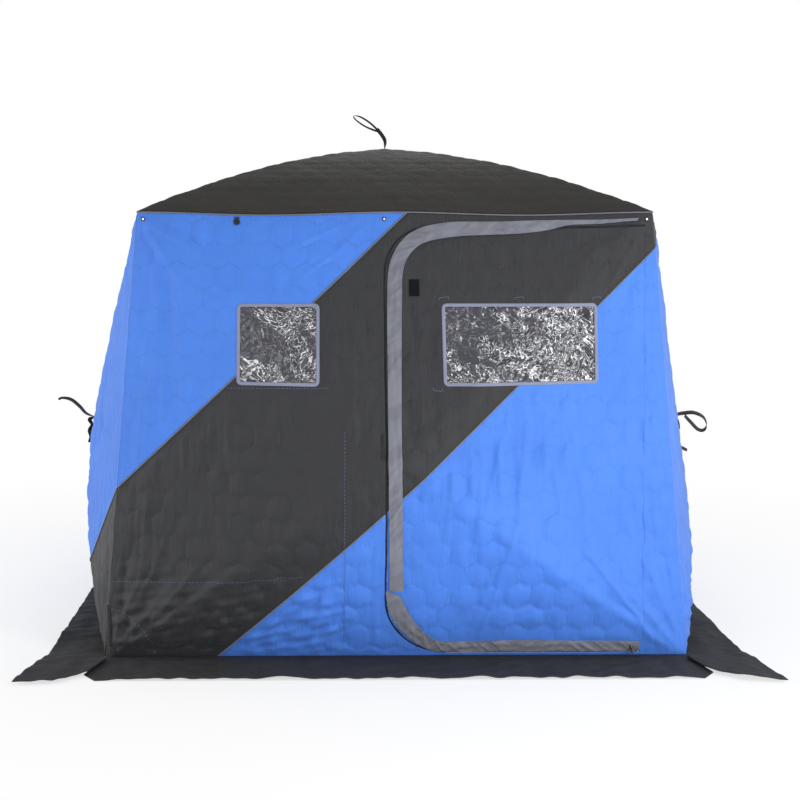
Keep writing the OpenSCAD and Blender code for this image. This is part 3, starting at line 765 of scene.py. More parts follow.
def new_material(name):
    """An empty node material, its tree, and where each place lies on the object."""
    material = bpy.data.materials.new(name)
    material.use_nodes = True
    tree = material.node_tree
    tree.nodes.clear()
    return material, tree, add(tree, "TexCoord").outputs["Object"]


def rgba(values, factor=1.0):
    """A colour with its alpha, made lighter or darker by a factor."""
    return [min(1.0, c * factor) for c in values] + [1.0]


def quilted_cloth(name, tone, depth=1.0, gloss=0.3, line=0.8):
    """Woven polyester, quilted in hexagons: matt with a faint sheen, puckered at the stitching, with painted
    shade in the stitched grooves.
    """
    material, tree, spot = new_material(name)
    cloth = add(tree, "UVMap", {"uv_map": "cloth"})
    quilt = add(tree, "Attribute", {"attribute_name": "quilt"})
    # uneven dye and dust, in patches 0.3 m and 30 mm across, and where the quilting shows, 90 mm across
    wide = add(tree, "TexNoise", {"Scale": 3.2, "Detail": 3.0, "Vector": spot})
    fine = add(tree, "TexNoise", {"Scale": 34.0, "Detail": 4.0, "Vector": spot})
    patch = add(tree, "TexNoise", {"Scale": 11.0, "Detail": 2.0, "Vector": spot})
    # the real threads lie 0.4 mm apart; they are drawn 6 mm apart, so that the weave shows
    warp = add(tree, "TexWave", {"Scale": 52.0, "Distortion": 0.6, "Vector": cloth})
    weft = add(tree, "TexWave", {"bands_direction": "Y", "Scale": 52.0, "Distortion": 0.6, "Vector": cloth})
    weave = add(tree, "Math", {"operation": "MULTIPLY", 0: warp.outputs["Fac"], 1: weft.outputs["Fac"]})
    # painted shade: the thread of the quilting pulls the cloth into a groove, whose shade is painted as a
    # dark line about 6 mm wide, which comes and goes
    fade = add(tree, "MapRange", {
        "From Min": 0.42, "From Max": 0.6, "To Min": 0.0, "To Max": 0.75, "Value": patch,
    })
    painted_groove_shade = add(tree, "MapRange", {
        "From Min": 0.0, "From Max": 0.006, "To Max": 1.0, "Value": quilt.outputs["Fac"], "To Min": fade,
    })
    # small puckers run out from the stitching, and fade 30 mm away
    near = add(tree, "MapRange", {
        "From Min": 0.0, "From Max": 0.03, "To Min": 1.0, "To Max": 0.15, "Value": quilt.outputs["Fac"],
    })
    drawn = add(tree, "Mapping", {"Scale": (1.0, 0.3, 1.0), "Vector": cloth})
    pucker = add(tree, "TexNoise", {"Scale": 70.0, "Detail": 3.0, "Vector": drawn})
    puckers = add(tree, "Math", {"operation": "MULTIPLY", 0: pucker, 1: near})
    patches = add(tree, "Mix", {
        "data_type": "RGBA", UNDER: rgba(tone, 0.86), OVER: rgba(tone, 1.14), 0: wide,
    })
    speckled = add(tree, "Mix", {
        "data_type": "RGBA", "blend_type": "MULTIPLY", 0: 0.16, UNDER: patches, OVER: fine.outputs["Color"],
    })
    # line sets how dark the painted groove shade is
    with_groove_shade = add(tree, "Mix", {"data_type": "RGBA", UNDER: rgba(tone, line), 0: painted_groove_shade, OVER: speckled})
    first = add(tree, "Bump", {"Strength": 0.6 * depth, "Distance": 0.009, "Height": puckers})
    second = add(tree, "Bump", {"Strength": 0.3, "Distance": 0.0012, "Height": weave, "Normal": first})
    shader = add(tree, "BsdfPrincipled", {
        "Roughness": 0.72, "IOR": 1.5, "Specular IOR Level": gloss, "Sheen Weight": 0.25 * gloss,
        "Base Color": with_groove_shade, "Normal": second,
    })
    add(tree, "OutputMaterial", {"Surface": shader})
    return material


def plain_cloth(name, tone, grain=90.0, strength=0.35, roughness=0.75, sheen=0.1, crease=0.0):
    """Woven tape or coated cloth: matt, with a visible rib, lighter and darker in soft patches, and where
    asked, slanting creases whose shade and highlight are also painted into the colour.
    """
    material, tree, spot = new_material(name)
    wide = add(tree, "TexNoise", {"Scale": 7.0, "Detail": 4.0, "Vector": spot})
    # ribs 1 to 5 mm apart and a grain 2 to 17 mm across, coarser than the real thread so that they show
    fine = add(tree, "TexNoise", {"Scale": grain, "Detail": 3.0, "Vector": spot})
    rib = add(tree, "TexWave", {
        "bands_direction": "DIAGONAL", "Scale": grain, "Distortion": 1.0, "Vector": spot,
    })
    # creases about 30 mm apart that run up to the right: a bump, and by crease also painted shade and
    # highlight in the colour
    slant = add(tree, "Mapping", {
        "vector_type": "TEXTURE", "Rotation": (0.0, 0.85, 0.0), "Scale": (1.0, 1.0, 5.0), "Vector": spot,
    })
    pulled = add(tree, "TexNoise", {"Scale": 32.0, "Detail": 1.0, "Vector": slant})
    ridge = add(tree, "MapRange", {"From Min": 0.42, "From Max": 0.58, "Value": pulled})
    # painted shade and highlight: crease sets how far the colour follows the creases instead of the soft
    # patches
    tone_and_crease_shade = add(tree, "Mix", {"data_type": "FLOAT", 0: crease, LOW: wide, HIGH: ridge})
    shade = add(tree, "Mix", {"data_type": "RGBA", UNDER: rgba(tone, 0.82), OVER: rgba(tone, 1.15), 0: tone_and_crease_shade})
    weave = add(tree, "Math", {"operation": "ADD", 0: fine, 1: rib.outputs["Fac"]})
    height = add(tree, "Math", {"operation": "MULTIPLY_ADD", 1: 6.0 * crease, 0: ridge, 2: weave})
    bump = add(tree, "Bump", {"Strength": strength, "Distance": 0.0015, "Height": height})
    shader = add(tree, "BsdfPrincipled", {
        "Roughness": roughness, "IOR": 1.5, "Specular IOR Level": 0.2, "Sheen Weight": sheen,
        "Base Color": shade, "Normal": bump,
    })
    add(tree, "OutputMaterial", {"Surface": shader})
    return material


def crinkled_vinyl(name):
    """Clear PVC film that has been folded cold, drawn opaque: painted shade where it shows the dark inside,
    with painted bright glints for its reflections.
    """
    material, tree, spot = new_material(name)
    bend = add(tree, "TexNoise", {"Scale": 6.0, "Detail": 2.0, "Vector": spot})
    shift = add(tree, "Mix", {
        "data_type": "RGBA", "blend_type": "LINEAR_LIGHT", 0: 0.07, UNDER: spot, OVER: bend.outputs["Color"],
    })
    # painted glints: long bright reflections a few millimetres wide run down to the right, where the film was
    # folded
    slant = add(tree, "Mapping", {
        "vector_type": "TEXTURE", "Rotation": (0.0, -0.85, 0.0), "Scale": (1.0, 1.0, 5.0), "Vector": shift,
    })
    glint = add(tree, "TexNoise", {
        "Scale": 34.0, "Detail": 2.0, "Roughness": 0.55, "Distortion": 0.15, "Vector": slant,
    })
    steep = add(tree, "Mapping", {
        "vector_type": "TEXTURE", "Rotation": (0.0, 0.85, 0.0), "Scale": (1.0, 1.0, 3.2), "Vector": shift,
    })
    shards = add(tree, "TexNoise", {
        "Scale": 58.0, "Detail": 2.0, "Roughness": 0.5, "Distortion": 0.6, "Vector": steep,
    })
    where = add(tree, "TexNoise", {"Scale": 7.0, "Detail": 2.0, "Vector": spot})
    swap = add(tree, "MapRange", {"From Min": 0.42, "From Max": 0.58, "Value": where})
    both = add(tree, "Mix", {"data_type": "FLOAT", 0: swap, LOW: glint, HIGH: shards})
    ramp = add(tree, "ValToRGB", {"Fac": both})
    stops = ramp.color_ramp.elements
    # painted shade: the dark greys stand for the unlit inside seen through the clear film
    stops[0].position, stops[0].color = 0.4, rgba(linear("222327"))
    stops[1].position, stops[1].color = 0.66, rgba(linear("3a3b40"))
    # the painted glints' places and shades
    painted_glints = (
        (0.43, "2a2b30"), (0.443, "c4c5ca"), (0.457, "323339"), (0.51, "2f3035"),
        (0.536, "74757a"), (0.55, "f2f3f4"), (0.567, "5b5c60"), (0.59, "2a2b30"),
    )
    for place, code in painted_glints:
        stops.new(place).color = rgba(linear(code))
    # painted shade: some stretches lie flat and show only the dark inside, painted dark grey
    flat = add(tree, "TexNoise", {"Scale": 11.0, "Detail": 1.0, "Vector": slant})
    painted_dark_inside = add(tree, "MapRange", {
        "From Min": 0.51, "From Max": 0.56, "To Min": 0.0, "To Max": 0.85, "Value": flat,
    })
    seen = add(tree, "Mix", {"data_type": "RGBA", OVER: rgba(linear("2c2c36")), 0: painted_dark_inside, UNDER: ramp})
    bump = add(tree, "Bump", {"Strength": 0.7, "Distance": 0.008, "Height": both})
    shader = add(tree, "BsdfPrincipled", {
        "Roughness": 0.16, "IOR": 1.54, "Specular IOR Level": 0.5, "Base Color": seen, "Normal": bump,
    })
    add(tree, "OutputMaterial", {"Surface": shader})
    return material


def moulded(name, code, roughness, grain, metallic=0.0):
    """Moulded or drawn hard part: even colour with a fine surface grain and slight wear."""
    material, tree, spot = new_material(name)
    tone = linear(code)
    noise = add(tree, "TexNoise", {"Scale": grain, "Detail": 4.0, "Vector": spot})
    shade = add(tree, "Mix", {"data_type": "RGBA", UNDER: rgba(tone, 0.8), OVER: rgba(tone, 1.2), 0: noise})
    bump = add(tree, "Bump", {"Strength": 0.2, "Distance": 0.0008, "Height": noise})
    shader = add(tree, "BsdfPrincipled", {
        "Roughness": roughness, "Metallic": metallic, "Base Color": shade, "Normal": bump,
    })
    add(tree, "OutputMaterial", {"Surface": shader})
    return material


def material_named(name):
    """A finish by its name, made when it is first asked for."""
    found = bpy.data.materials.get(name)
    if found:
        return found
    c = hut().colours
    finishes = {
        # the last number of a quilted cloth sets how dark its painted groove shade is
        "blue quilted polyester": (quilted_cloth, c.blue),
        "black quilted polyester": (quilted_cloth, c.black, 1.3, 0.42, 0.55),
        "roof quilted polyester": (quilted_cloth, c.roof, 0.7, 0.1),
        "quilted lining": (quilted_cloth, c.lining, 0.7),
        # a plain cloth's last number sets how much painted crease shade and highlight its colour carries
        "coated skirt cloth": (plain_cloth, c.skirt, 60, 0.5, 0.8, 0.0, 0.3),
        "grey storm flap cloth": (plain_cloth, c.flap, 90, 0.5, 0.75, 0.1, 0.5),
        "grey binding tape": (plain_cloth, c.binding, 260, 0.5),
        "grey seam piping": (plain_cloth, c.piping, 260, 0.4),
        "black webbing": (plain_cloth, c.webbing, 240, 0.8, 0.6, 0.2),
        "black loop tape": (plain_cloth, linear("08080a"), 500, 1.0, 0.9, 0.0),
        "navy thread": (plain_cloth, c.stitch, 400, 0.4, 0.6),
        "zip tape": (plain_cloth, linear("15171f"), 300, 0.7, 0.7),
        "crinkled clear vinyl": (crinkled_vinyl,),
        "pultruded fibreglass": (moulded, "d8d4c6", 0.35, 300),
        "moulded hub nylon": (moulded, "1c1d1f", 0.45, 220),
        "satin zinc zip slider": (moulded, "a8a9ad", 0.32, 500, 1.0),
        "nickel-plated rivet": (moulded, "d2d3d6", 0.35, 500, 1.0),
        "lacquered brass eyelet": (moulded, "202124", 0.35, 500, 0.6),
    }
    make, *values = finishes[name]
    return make(name, *values)


# ---- Operators: one for each group of pieces ----


def wall_sheet(side):
    """The flat cloth of a whole wall, cut at its edges, seams, windows and door."""
    s, d, q = hut().shape, hut().door, hut().quilt
    steps = q.front_steps if side == "front" else q.other_steps
    inset = 0.0 if side in ("front", "back") else s.fabric + 0.0005
    bm = flat_weave(s.base_width, s.eave_height, steps)
    low, high = s.base_width / 2 - inset, s.eave_width / 2 - inset
    cut_straight(bm, ((-FAR, 0), (FAR, 0)), clear_below=True)
    cut_straight(bm, ((-FAR, s.eave_height), (FAR, s.eave_height)), clear_above=True)
    cut_straight(bm, ((low, 0), (high, s.eave_height)), clear_below=True)
    cut_straight(bm, ((-low, 0), (-high, s.eave_height)), clear_above=True)
    for line in wall_seams(side):
        cut_straight(bm, line)
    for place, width in wall_windows(side):
        x1, x2, z1, z2 = window_box(place, width)
        cut_along(bm, [(x1, z1), (x2, z1), (x2, z2), (x1, z2), (x1, z1)])
    if side == "front":
        cut_along(bm, door_line(0))
        cut_along(bm, door_line(-d.gap))
        low_z, high_z = d.sill - d.gap, s.eave_height - d.head + d.gap
        cut_along(bm, [(hinge_x(low_z), low_z), (hinge_x(high_z), high_z)])
    bmesh.ops.triangulate(bm, faces=bm.faces[:])
    return bm


def wall_zones(side, bm):
    """Which faces of a wall's flat cloth are blue above, black, blue below, door and fixed."""
    x, z = centres(bm)
    upper, lower = wall_seams(side)
    solid = np.ones(len(x), bool)
    for place, width in wall_windows(side):
        solid &= ~in_box(x, z, window_box(place, width))
    high = above(upper, x, z) > 0
    low = above(lower, x, z) < 0
    door = np.zeros(len(x), bool)
    fixed = solid
    if side == "front":
        left = x < hinge_x(z)
        door = inside(door_line(0), x, z) & left
        fixed = solid & ~(inside(door_line(-hut().door.gap), x, z) & left)
    return high, low, solid & door, fixed


def wall_layer(side):
    """How a wall's cloth is laid out in the hut."""
    s, q = hut().shape, hut().quilt

    def place(x, z, outer):
        distance, _ = stitch_distance(x, z, q.cell)
        edge = edge_distance(side, x, z)
        lift = relief(side, x, z, edge)
        # sewing and strain leave the hexagons a little uneven
        loose = 0.005 * smooth(edge, 0, 0.07)
        across, up = loose * ripples(x, z, 0.22, 71), loose * ripples(x, z, 0.26, 72)
        inner = -s.fabric + np.minimum(lift, 0.0) - 0.3 * q.puff * (1 - np.exp(-distance / PUFF_REACH))
        spots = on_wall(side, x + across, z + up, np.where(outer, lift, np.minimum(inner, lift - 0.004)))
        # the foot stands on the ice and doesn't sink into it
        spots[..., 2] = np.maximum(spots[..., 2], CLEAR)
        return spots

    return place


def declare(piece, area, size, rests, *nodes):
    """Hides the CAD nodes that a piece stands for."""
    if nodes:
        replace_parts(piece, *nodes)


class HUT_OT_walls(bpy.types.Operator):
    """Quilted panels of the four walls, and the door's two panels"""

    bl_idname = "hut.walls"
    bl_label = "Walls and door panels"

    def execute(self, context):
        for side in TURNS:
            flat = wall_sheet(side)
            high, low, door, fixed = wall_zones(side, flat)
            place, poles = wall_layer(side), [side + "_poles"]
            x, z = centres(flat)
            band = fixed & ~high & ~low
            # each piece's name, faces and colour, and the node it stands for
            parts = [
                ("upper", fixed & high, "blue", "wall_upper"),
                ("band", band, "black", "wall_band"),
                ("lower", fixed & low, "blue", "wall_lower"),
            ]
            if side == "front":
                corner = hut().door.foot_radius - hut().door.left
                header = band & (z > hut().shape.eave_height - HEADER) & (x > hut().door.top_radius)
                past, beside = x > hinge_x(z), x <= corner
                parts = [
                    ("upper", fixed & high, "blue", "wall_upper"),
                    ("band", band & ~header, "black", "wall_band"),
                    ("header", header, "black", "wall_header"),
                    ("lower", fixed & low & beside, "blue", "wall_lower"),
                    ("sill", fixed & low & ~beside & ~past, "blue", "wall_sill"),
                    ("jamb", fixed & low & past, "blue", "wall_jamb"),
                ]
            if side in ("left", "right"):
                parts = [
                    ("panel", band, "blue", "wall"),
                    ("low_corner", fixed & low, "black", "wall_corners"),
                    ("high_corner", fixed & high, "black", "wall_corners"),
                ]
            for name, keep, shade, node in parts:
                layout = self.hem if name == "sill" else place
                made = self.panel(f"{side}_{name}_cloth", flat, keep, layout, shade, "hut")
                declare(*made, poles, f"{side}_{node}")
            if side == "front":
                self.door_panels(flat, door, low, place)
            flat.free()
        return {"FINISHED"}

    def panel(self, name, flat, keep, place, shade, body):
        """A piece of lined quilted cloth in one of the two colours."""
        cloths = [material_named(shade + " quilted polyester"), material_named("quilted lining")]
        return cloth_piece(name, flat, keep, place, hut().shape.fabric, cloths, body)

    def hem(self, x, z, outer):
        """The plain turned hem under the door."""
        return on_wall("front", x, z, np.where(outer, 0.0, -0.0018))

    def door_panels(self, flat, door, low, place):
        """The door's two panels of cloth, laid out like the rest of the front wall."""
        joint = next(j for j in frame["joints"] if j["name"] == "door_hinge")
        axis = Vector(joint["axis"]).normalized()
        across = axis.cross(Vector((0, 1, 0))).normalized()
        across = across if across.x < 0 else -across
        parts = [
            ("door_upper_cloth", door & ~low, "black", ["door_upper", "door_hinge_cord"]),
            ("door_lower_cloth", door & low, "blue", ["door_lower"]),
        ]
        for name, keep, shade, nodes in parts:
            piece, area, size = self.panel(name, flat, keep, place, shade, None)
            declare(piece, area, size, ["hubs"], *nodes)
            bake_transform(piece)


class HUT_OT_roof(bpy.types.Operator):
    """Quilted roof, stretched over the roof hub and its four poles, with a piped eave"""

    bl_idname = "hut.roof"
    bl_label = "Roof"

    def execute(self, context):
        s, q = hut().shape, hut().quilt
        half = s.eave_width / 2
        flat = flat_weave(s.eave_width, s.eave_width, q.other_steps + 1)
        row = q.cell * ROOT3
        bmesh.ops.translate(flat, verts=flat.verts[:], vec=(0, -round(half / row) * row, 0))
        cut_straight(flat, ((-FAR, -half), (FAR, -half)), clear_below=True)
        cut_straight(flat, ((-FAR, half), (FAR, half)), clear_above=True)
        cut_straight(flat, ((half, -FAR), (half, FAR)), clear_below=True)
        cut_straight(flat, ((-half, -FAR), (-half, FAR)), clear_above=True)
        bmesh.ops.triangulate(flat, faces=flat.faces[:])

        def place(x, y, outer):
            distance, tag = stitch_distance(x, y, q.cell)
            edge = half - np.maximum(np.abs(x), np.abs(y))
            full = smooth(edge, 0.0, 0.05)
            puff = 0.4 * q.puff * (1 - np.exp(-distance / 0.02)) * (0.7 + 0.6 * tag)
            lift = full * (puff - 0.15 * q.puff + 0.0015 * ripples(x, y, 0.3, 21))
            return roof_place(x, y, np.where(outer, s.fabric + lift, CLEAR + np.minimum(lift, 0)))

        keep = np.ones(len(flat.faces), bool)
        cloths = [material_named("roof quilted polyester"), material_named("quilted lining")]
        made = cloth_piece("roof_cloth", flat, keep, place, s.fabric, cloths, "hut")
        flat.free()
        declare(*made, ["roof_poles"], "roof")
        edges = []
        for side in TURNS:
            x = np.linspace(-half, half, 130)
            path = roof_place(x, np.full_like(x, -half), 0.001)
            path[:, 1] -= 0.002
            along = unit(np.gradient(path, axis=0))
            out = np.tile([0.0, -1.0, 0.0], (len(x), 1))
            grid = skin(path, np.cross(out, along), out, oval(0.005, 0.005))
            edges.append(turned(grid, side))
        solid_piece("eave_piping", edges, "hut", material_named("grey seam piping"))
        return {"FINISHED"}


class HUT_OT_skirts(bpy.types.Operator):
    """Black skirts that lie on the ice round the foot of the hut"""

    bl_idname = "hut.skirts"
    bl_label = "Skirts"

    def execute(self, context):
        cloth = material_named("coated skirt cloth")
        for side in TURNS:
            low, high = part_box(f"{side}_skirt")
            outline = self.outline(side, low, high)
            flat = flat_weave(max(abs(low.x), high.x) * 2 + 0.1, high.y - low.y + 0.1, 5)
            bmesh.ops.translate(flat, verts=flat.verts[:], vec=(0, low.y - 0.02, 0))
            x, y = centres(flat)
            far = from_line(np.vstack([outline, outline[:1]]), x, y)
            stray = [f for f, d, i in zip(flat.faces, far, inside(outline, x, y)) if d > 0.05 and not i]
            bmesh.ops.delete(flat, geom=stray, context="FACES")
            cut_along(flat, np.vstack([outline, outline[:1]]), 0.03)
            bmesh.ops.triangulate(flat, faces=flat.faces[:])
            x, y = centres(flat)
            keep = inside(outline, x, y)
            name = f"{side}_skirt_cloth"
            place = self.laid(side)
            piece, area, size = cloth_piece(name, flat, keep, place, 0.003, [cloth], "hut")
            flat.free()
            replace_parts(piece, f"{side}_skirt")
        return {"FINISHED"}

    def outline(self, side, low, high):
        """The cut of a skirt, seen from above."""
        s = hut().shape
        half = s.base_width / 2
        if side in ("front", "back"):
            out = -low.y if side == "front" else high.y
            tuck, neck = half + 0.045, half + 0.006
            end = [[half, -half - 0.003], [neck, -half - 0.05], [tuck, -half - 0.22], [tuck - 0.05, -out]]
            points = np.array([[-x, y] for x, y in end] + [[x, y] for x, y in reversed(end)])
            return points if side == "front" else -points
        reach, wide = max(abs(low.x), high.x), 0.22
        end = [
            [half + 0.003, -half - 0.02],
            [half - 0.0105, -half - wide / 3 - 0.004],
            [half + wide / 5 - 0.0135, -half - wide - 0.004],
            [half + (reach - half) / 2, low.y + 0.06 * (-half - low.y)],
            [reach, low.y],
            [half + wide, -half],
        ]
        points = np.array(end + [[x, -y] for x, y in reversed(end)])
        return points if side == "right" else -points

    def laid(self, side):
        """A skirt lies on the ice in low waves, held down flat at its seam."""
        half = hut().shape.base_width / 2

        def place(x, y, outer):
            off = np.maximum(np.abs(x), np.abs(y)) - half
            over = 0.007 * smooth(np.abs(y), half + 0.005, half + 0.06) if side in ("left", "right") else 0
            wave = 0.5 + 0.5 * ripples(x, y, 0.26, 31 + TURNS[side])
            small = 0.5 + 0.5 * ripples(x, y, 0.08, 41)
            lift = smooth(off, 0.0, 0.12) * (0.01 * np.clip(wave, 0, 1.4) + 0.006 * np.clip(small, 0, 1.4))
            if side in ("front", "back"):
                lift *= smooth(np.abs(x), half + 0.02, half - 0.12)
            lift += over
            return np.stack([x, y, CLEAR + lift + np.where(outer, 0.0032, 0.0)], -1)

        return place


class HUT_OT_windows(bpy.types.Operator):
    """Crinkled clear panes and their bound edges"""

    bl_idname = "hut.windows"
    bl_label = "Windows"

    def execute(self, context):
        front, back = ([(side, *place) for place in wall_windows(side)] for side in ("front", "back"))
        sides = [(side, *wall_windows(side)[0]) for side in ("left", "right")]
        # each piece's name, its windows, its body and the nodes it stands for
        jobs = [
            ("front_window", front[:1], "hut", "front_window_binding", "front_window_pane"),
            ("door_window", front[1:], "door", "door_window_binding", "door_window_pane"),
            ("back_windows", back, "hut", "back_window_bindings", "back_window_panes"),
            ("side_windows", sides, "hut", "side_window_bindings", "side_window_panes"),
        ]
        grey, clear = material_named("grey binding tape"), material_named("crinkled clear vinyl")
        for name, places, body, binding, pane in jobs:
            frames = [self.binding(side, x, width) for side, x, width in places]
            tape_piece = solid_piece(name + "_tape", frames, body, grey)
            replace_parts(tape_piece, binding)
            grids, area = [], 0.0
            for side, x, width in places:
                faces, cut = self.film(side, x, width)
                grids += faces
                area += cut
            film = solid_piece(name + "_film", grids, body, clear, 80)
            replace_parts(film, pane)
        return {"FINISHED"}

    def binding(self, side, x, width):
        """A flat tape round a window, with rounded corners."""
        w = hut().windows
        x1, x2, z1, z2 = window_box(x, width)
        r = w.radius - w.binding / 2
        corners = ((x2 - r, z2 - r, 0), (x1 + r, z2 - r, 90), (x1 + r, z1 + r, 180), (x2 - r, z1 + r, 270))
        line = np.concatenate([arc(cx, cz, r, turn, turn + 90, 5) for cx, cz, turn in corners])
        line = np.vstack([line, line[:1]])
        return along_wall(side, line, tape(w.binding, 0.0035), 0.0012, 0.006, closed=True)

    def film(self, side, x, width):
        """Two faces of a crinkled film, held flat at its edges, and its area."""
        x1, x2, z1, z2 = window_box(x, width, 0.003)
        columns, rows = int((x2 - x1) / 0.005), int((z2 - z1) / 0.005)
        across, up = np.meshgrid(np.linspace(x1, x2, columns), np.linspace(z1, z2, rows))
        edge = np.minimum(np.minimum(across - x1, x2 - across), np.minimum(up - z1, z2 - up))
        seed = 60 + TURNS[side] * 5 + int(width > 0.4)
        crush = np.zeros_like(across)
        for size, height, k in ((0.14, 0.004, 0), (0.06, 0.0026, 1), (0.03, 0.0014, 2)):
            crush += height * (1 - 2 * np.abs(ripples(across + 0.4 * up, up, size, seed + k)))
        crush = smooth(edge, 0, 0.02) * np.clip(crush, -0.008, 0.006) - 0.0015
        front = on_wall(side, across, up, crush)
        back = on_wall(side, across, up, crush - 0.0008)
        return two_faced(front, back), float((x2 - x1) * (z2 - z1)) * 0.98


class HUT_OT_door_trim(bpy.types.Operator):
    """Zip tape, storm flaps, patch and zip slider of the door"""

    bl_idname = "hut.door_trim"
    bl_label = "Door trim"

    def execute(self, context):
        d = hut().door
        tape_line = door_line(-d.gap / 2)
        tape_line[0] -= (0.004, 0)
        tape_line[-1] -= (0.004, 0)
        zip_tape = along_wall("front", tape_line, tape(d.gap + 0.002, 0.003), -0.0025, 0.01)
        solid_piece("zip_tape", [zip_tape], "hut", material_named("zip tape"))
        self.flap("upper")
        self.flap("lower")
        self.patch()
        self.slider()
        return {"FINISHED"}

    # edges of the storm flaps on the front wall, sideways and up from the foot's middle
    UPPER_OUT = [
        (0.957, 1.697), (0.9, 1.695), (0.8, 1.694), (0.66, 1.698), (0.545, 1.698), (0.39, 1.692),
        (0.24, 1.686), (0.165, 1.676), (0.095, 1.658), (0.037, 1.622), (-0.007, 1.566), (-0.031, 1.496),
        (-0.038, 1.382), (-0.04, 1.2), (-0.041, 0.87), (-0.04, 0.65), (-0.036, 0.414), (-0.034, 0.292),
    ]
    UPPER_IN = [
        (0.95, 1.686), (0.9, 1.684), (0.8, 1.678), (0.68, 1.677), (0.603, 1.66), (0.505, 1.648),
        (0.387, 1.64), (0.269, 1.632), (0.163, 1.616), (0.093, 1.592), (0.045, 1.544), (0.023, 1.478),
        (0.019, 1.382), (0.014, 1.2), (0.009, 0.87), (0.011, 0.65), (0.015, 0.414), (0.019, 0.29),
    ]
    LOWER_OUT = [
        (-0.049, 0.286), (-0.036, 0.21), (-0.005, 0.146), (0.04, 0.094), (0.09, 0.052), (0.143, 0.028),
        (0.197, 0.024), (0.271, 0.023), (0.49, 0.025), (0.727, 0.025), (0.936, 0.025),
    ]
    LOWER_IN = [
        (-0.045, 0.288), (0.004, 0.268), (0.022, 0.234), (0.059, 0.166), (0.109, 0.104), (0.165, 0.07),
        (0.25, 0.07), (0.33, 0.071), (0.487, 0.074), (0.723, 0.07), (0.934, 0.068),
    ]

    def flap(self, which):
        """A folded strip sewn over the zip, drawn between its two edges, with short slanting creases."""
        upper = which == "upper"
        outer, inner = (self.UPPER_OUT, self.UPPER_IN) if upper else (self.LOWER_OUT, self.LOWER_IN)
        rows, across = 460 if upper else 220, 15
        (left, _), (right, length) = (spaced(smoothed(line), count=rows) for line in (outer, inner))
        t = np.linspace(0, 1, across)[None, :, None]
        spots = left[:, None] * (1 - t) + right[:, None] * t
        x, z = spots[..., 0], spots[..., 1]
        along = np.linspace(0, length, rows)[:, None] + np.zeros((1, across))
        wide = np.linalg.norm(left - right, axis=1)[:, None]
        sway = t[..., 0] * wide
        body = np.sin(math.pi * np.clip(t[..., 0], 0.02, 0.98)) ** 0.4
        full = np.clip(wide / 0.05, 0.1, 1)
        slant = 0.3 - np.abs(ripples(along + 1.4 * sway, 0.25 * sway, 0.085, 51))
        crease = 0.014 * np.clip(slant, -0.3, 0.3) * np.clip(0.4 + ripples(along, 0, 0.5, 53), 0, 1)
        crease += 0.003 * ripples(along * 0.3, sway * 2.0, 0.07, 52)
        height = 0.0058 + full * body * (0.0026 + crease)
        out, _, _ = wall_directions("front", x, z)
        ground = on_wall("front", x, z, 0.0)
        front = ground + out * np.maximum(height, 0.0042)[..., None]
        back = ground + out * 0.0028
        sheet = np.concatenate([front, back[:, ::-1], front[:, :1]], 1)
        cloth = material_named("grey storm flap cloth")
        piece = solid_piece(f"storm_flap_{which}", [capped(sheet)], "door", cloth, 70)
        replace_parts(piece, f"door_flap_{which}")

    def patch(self):
        """A square of hook-and-loop tape sewn beside the zip."""
        low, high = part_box("door_patch")
        across, up = np.meshgrid(np.linspace(low.x, high.x, 9), np.linspace(low.z, high.z, 13))
        edge = np.minimum(np.minimum(across - low.x, high.x - across), np.minimum(up - low.z, high.z - up))
        lift = relief("front", across, up, edge_distance("front", across, up))
        front = on_wall("front", across, up, lift + 0.0022 + 0.0012 * smooth(edge, 0, 0.008))
        back = on_wall("front", across, up, lift + CLEAR)
        cloth = material_named("black loop tape")
        piece = solid_piece("hook_and_loop_patch", two_faced(front, back), "door", cloth)
        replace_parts(piece, "door_patch")

    def slider(self):
        """Zip slider with its bridge and a cord puller."""
        low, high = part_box("zip_pull")
        x, z = (low.x + high.x) / 2, high.z - 0.006
        out, _, up = (a[0] for a in wall_directions("front", np.array([x]), np.array([z])))
        side = np.cross(up, out)
        centre = on_wall("front", np.array([x]), np.array([z]), 0.013)[0]
        grids = []
        body = centre + up * np.linspace(-0.009, 0.009, 7)[:, None]
        wide = np.array([0.008, 0.012, 0.013, 0.012, 0.011, 0.01, 0.007])
        profile = oval(1, 0.0055, 12)[None] * np.stack([wide, np.ones(7)], -1)[:, None]
        grids.append(skin(body, np.tile(side, (7, 1)), np.tile(out, (7, 1)), profile))
        turn = np.linspace(0, math.pi, 9)
        bridge = centre + up * (0.007 * np.cos(turn))[:, None] + out * (0.002 + 0.004 * np.sin(turn))[:, None]
        ahead = unit(np.gradient(bridge, axis=0))
        grids.append(skin(bridge, np.tile(side, (9, 1)), np.cross(ahead, side), oval(0.003, 0.0015, 8)))
        metal = solid_piece("zip_slider", grids, "door", material_named("satin zinc zip slider"))
        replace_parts(metal, "zip_pull")
        grids = []
        for lean, long in ((-0.3, 0.034), (0.35, 0.03)):
            t = np.linspace(0, 1, 9)
            # the cord hangs down to the skirt and lies on it
            drop = np.minimum(long * t, centre[2] - 0.012)
            outward = 0.005 + 0.002 * t + long * t - drop
            fall = centre + out * outward[:, None] - np.array([0, 0, 1]) * drop[:, None]
            fall = fall + side * (lean * 0.02 * t**1.5)[:, None]
            fall[:, 2] = np.maximum(fall[:, 2], 0.012)
            ahead = unit(np.gradient(fall, axis=0))
            across = np.cross(ahead, out)
            grids.append(skin(fall, across, np.cross(across, ahead), oval(0.0042, 0.0042, 8)))
        solid_piece("zip_cord_pulls", grids, "door", material_named("black webbing"))


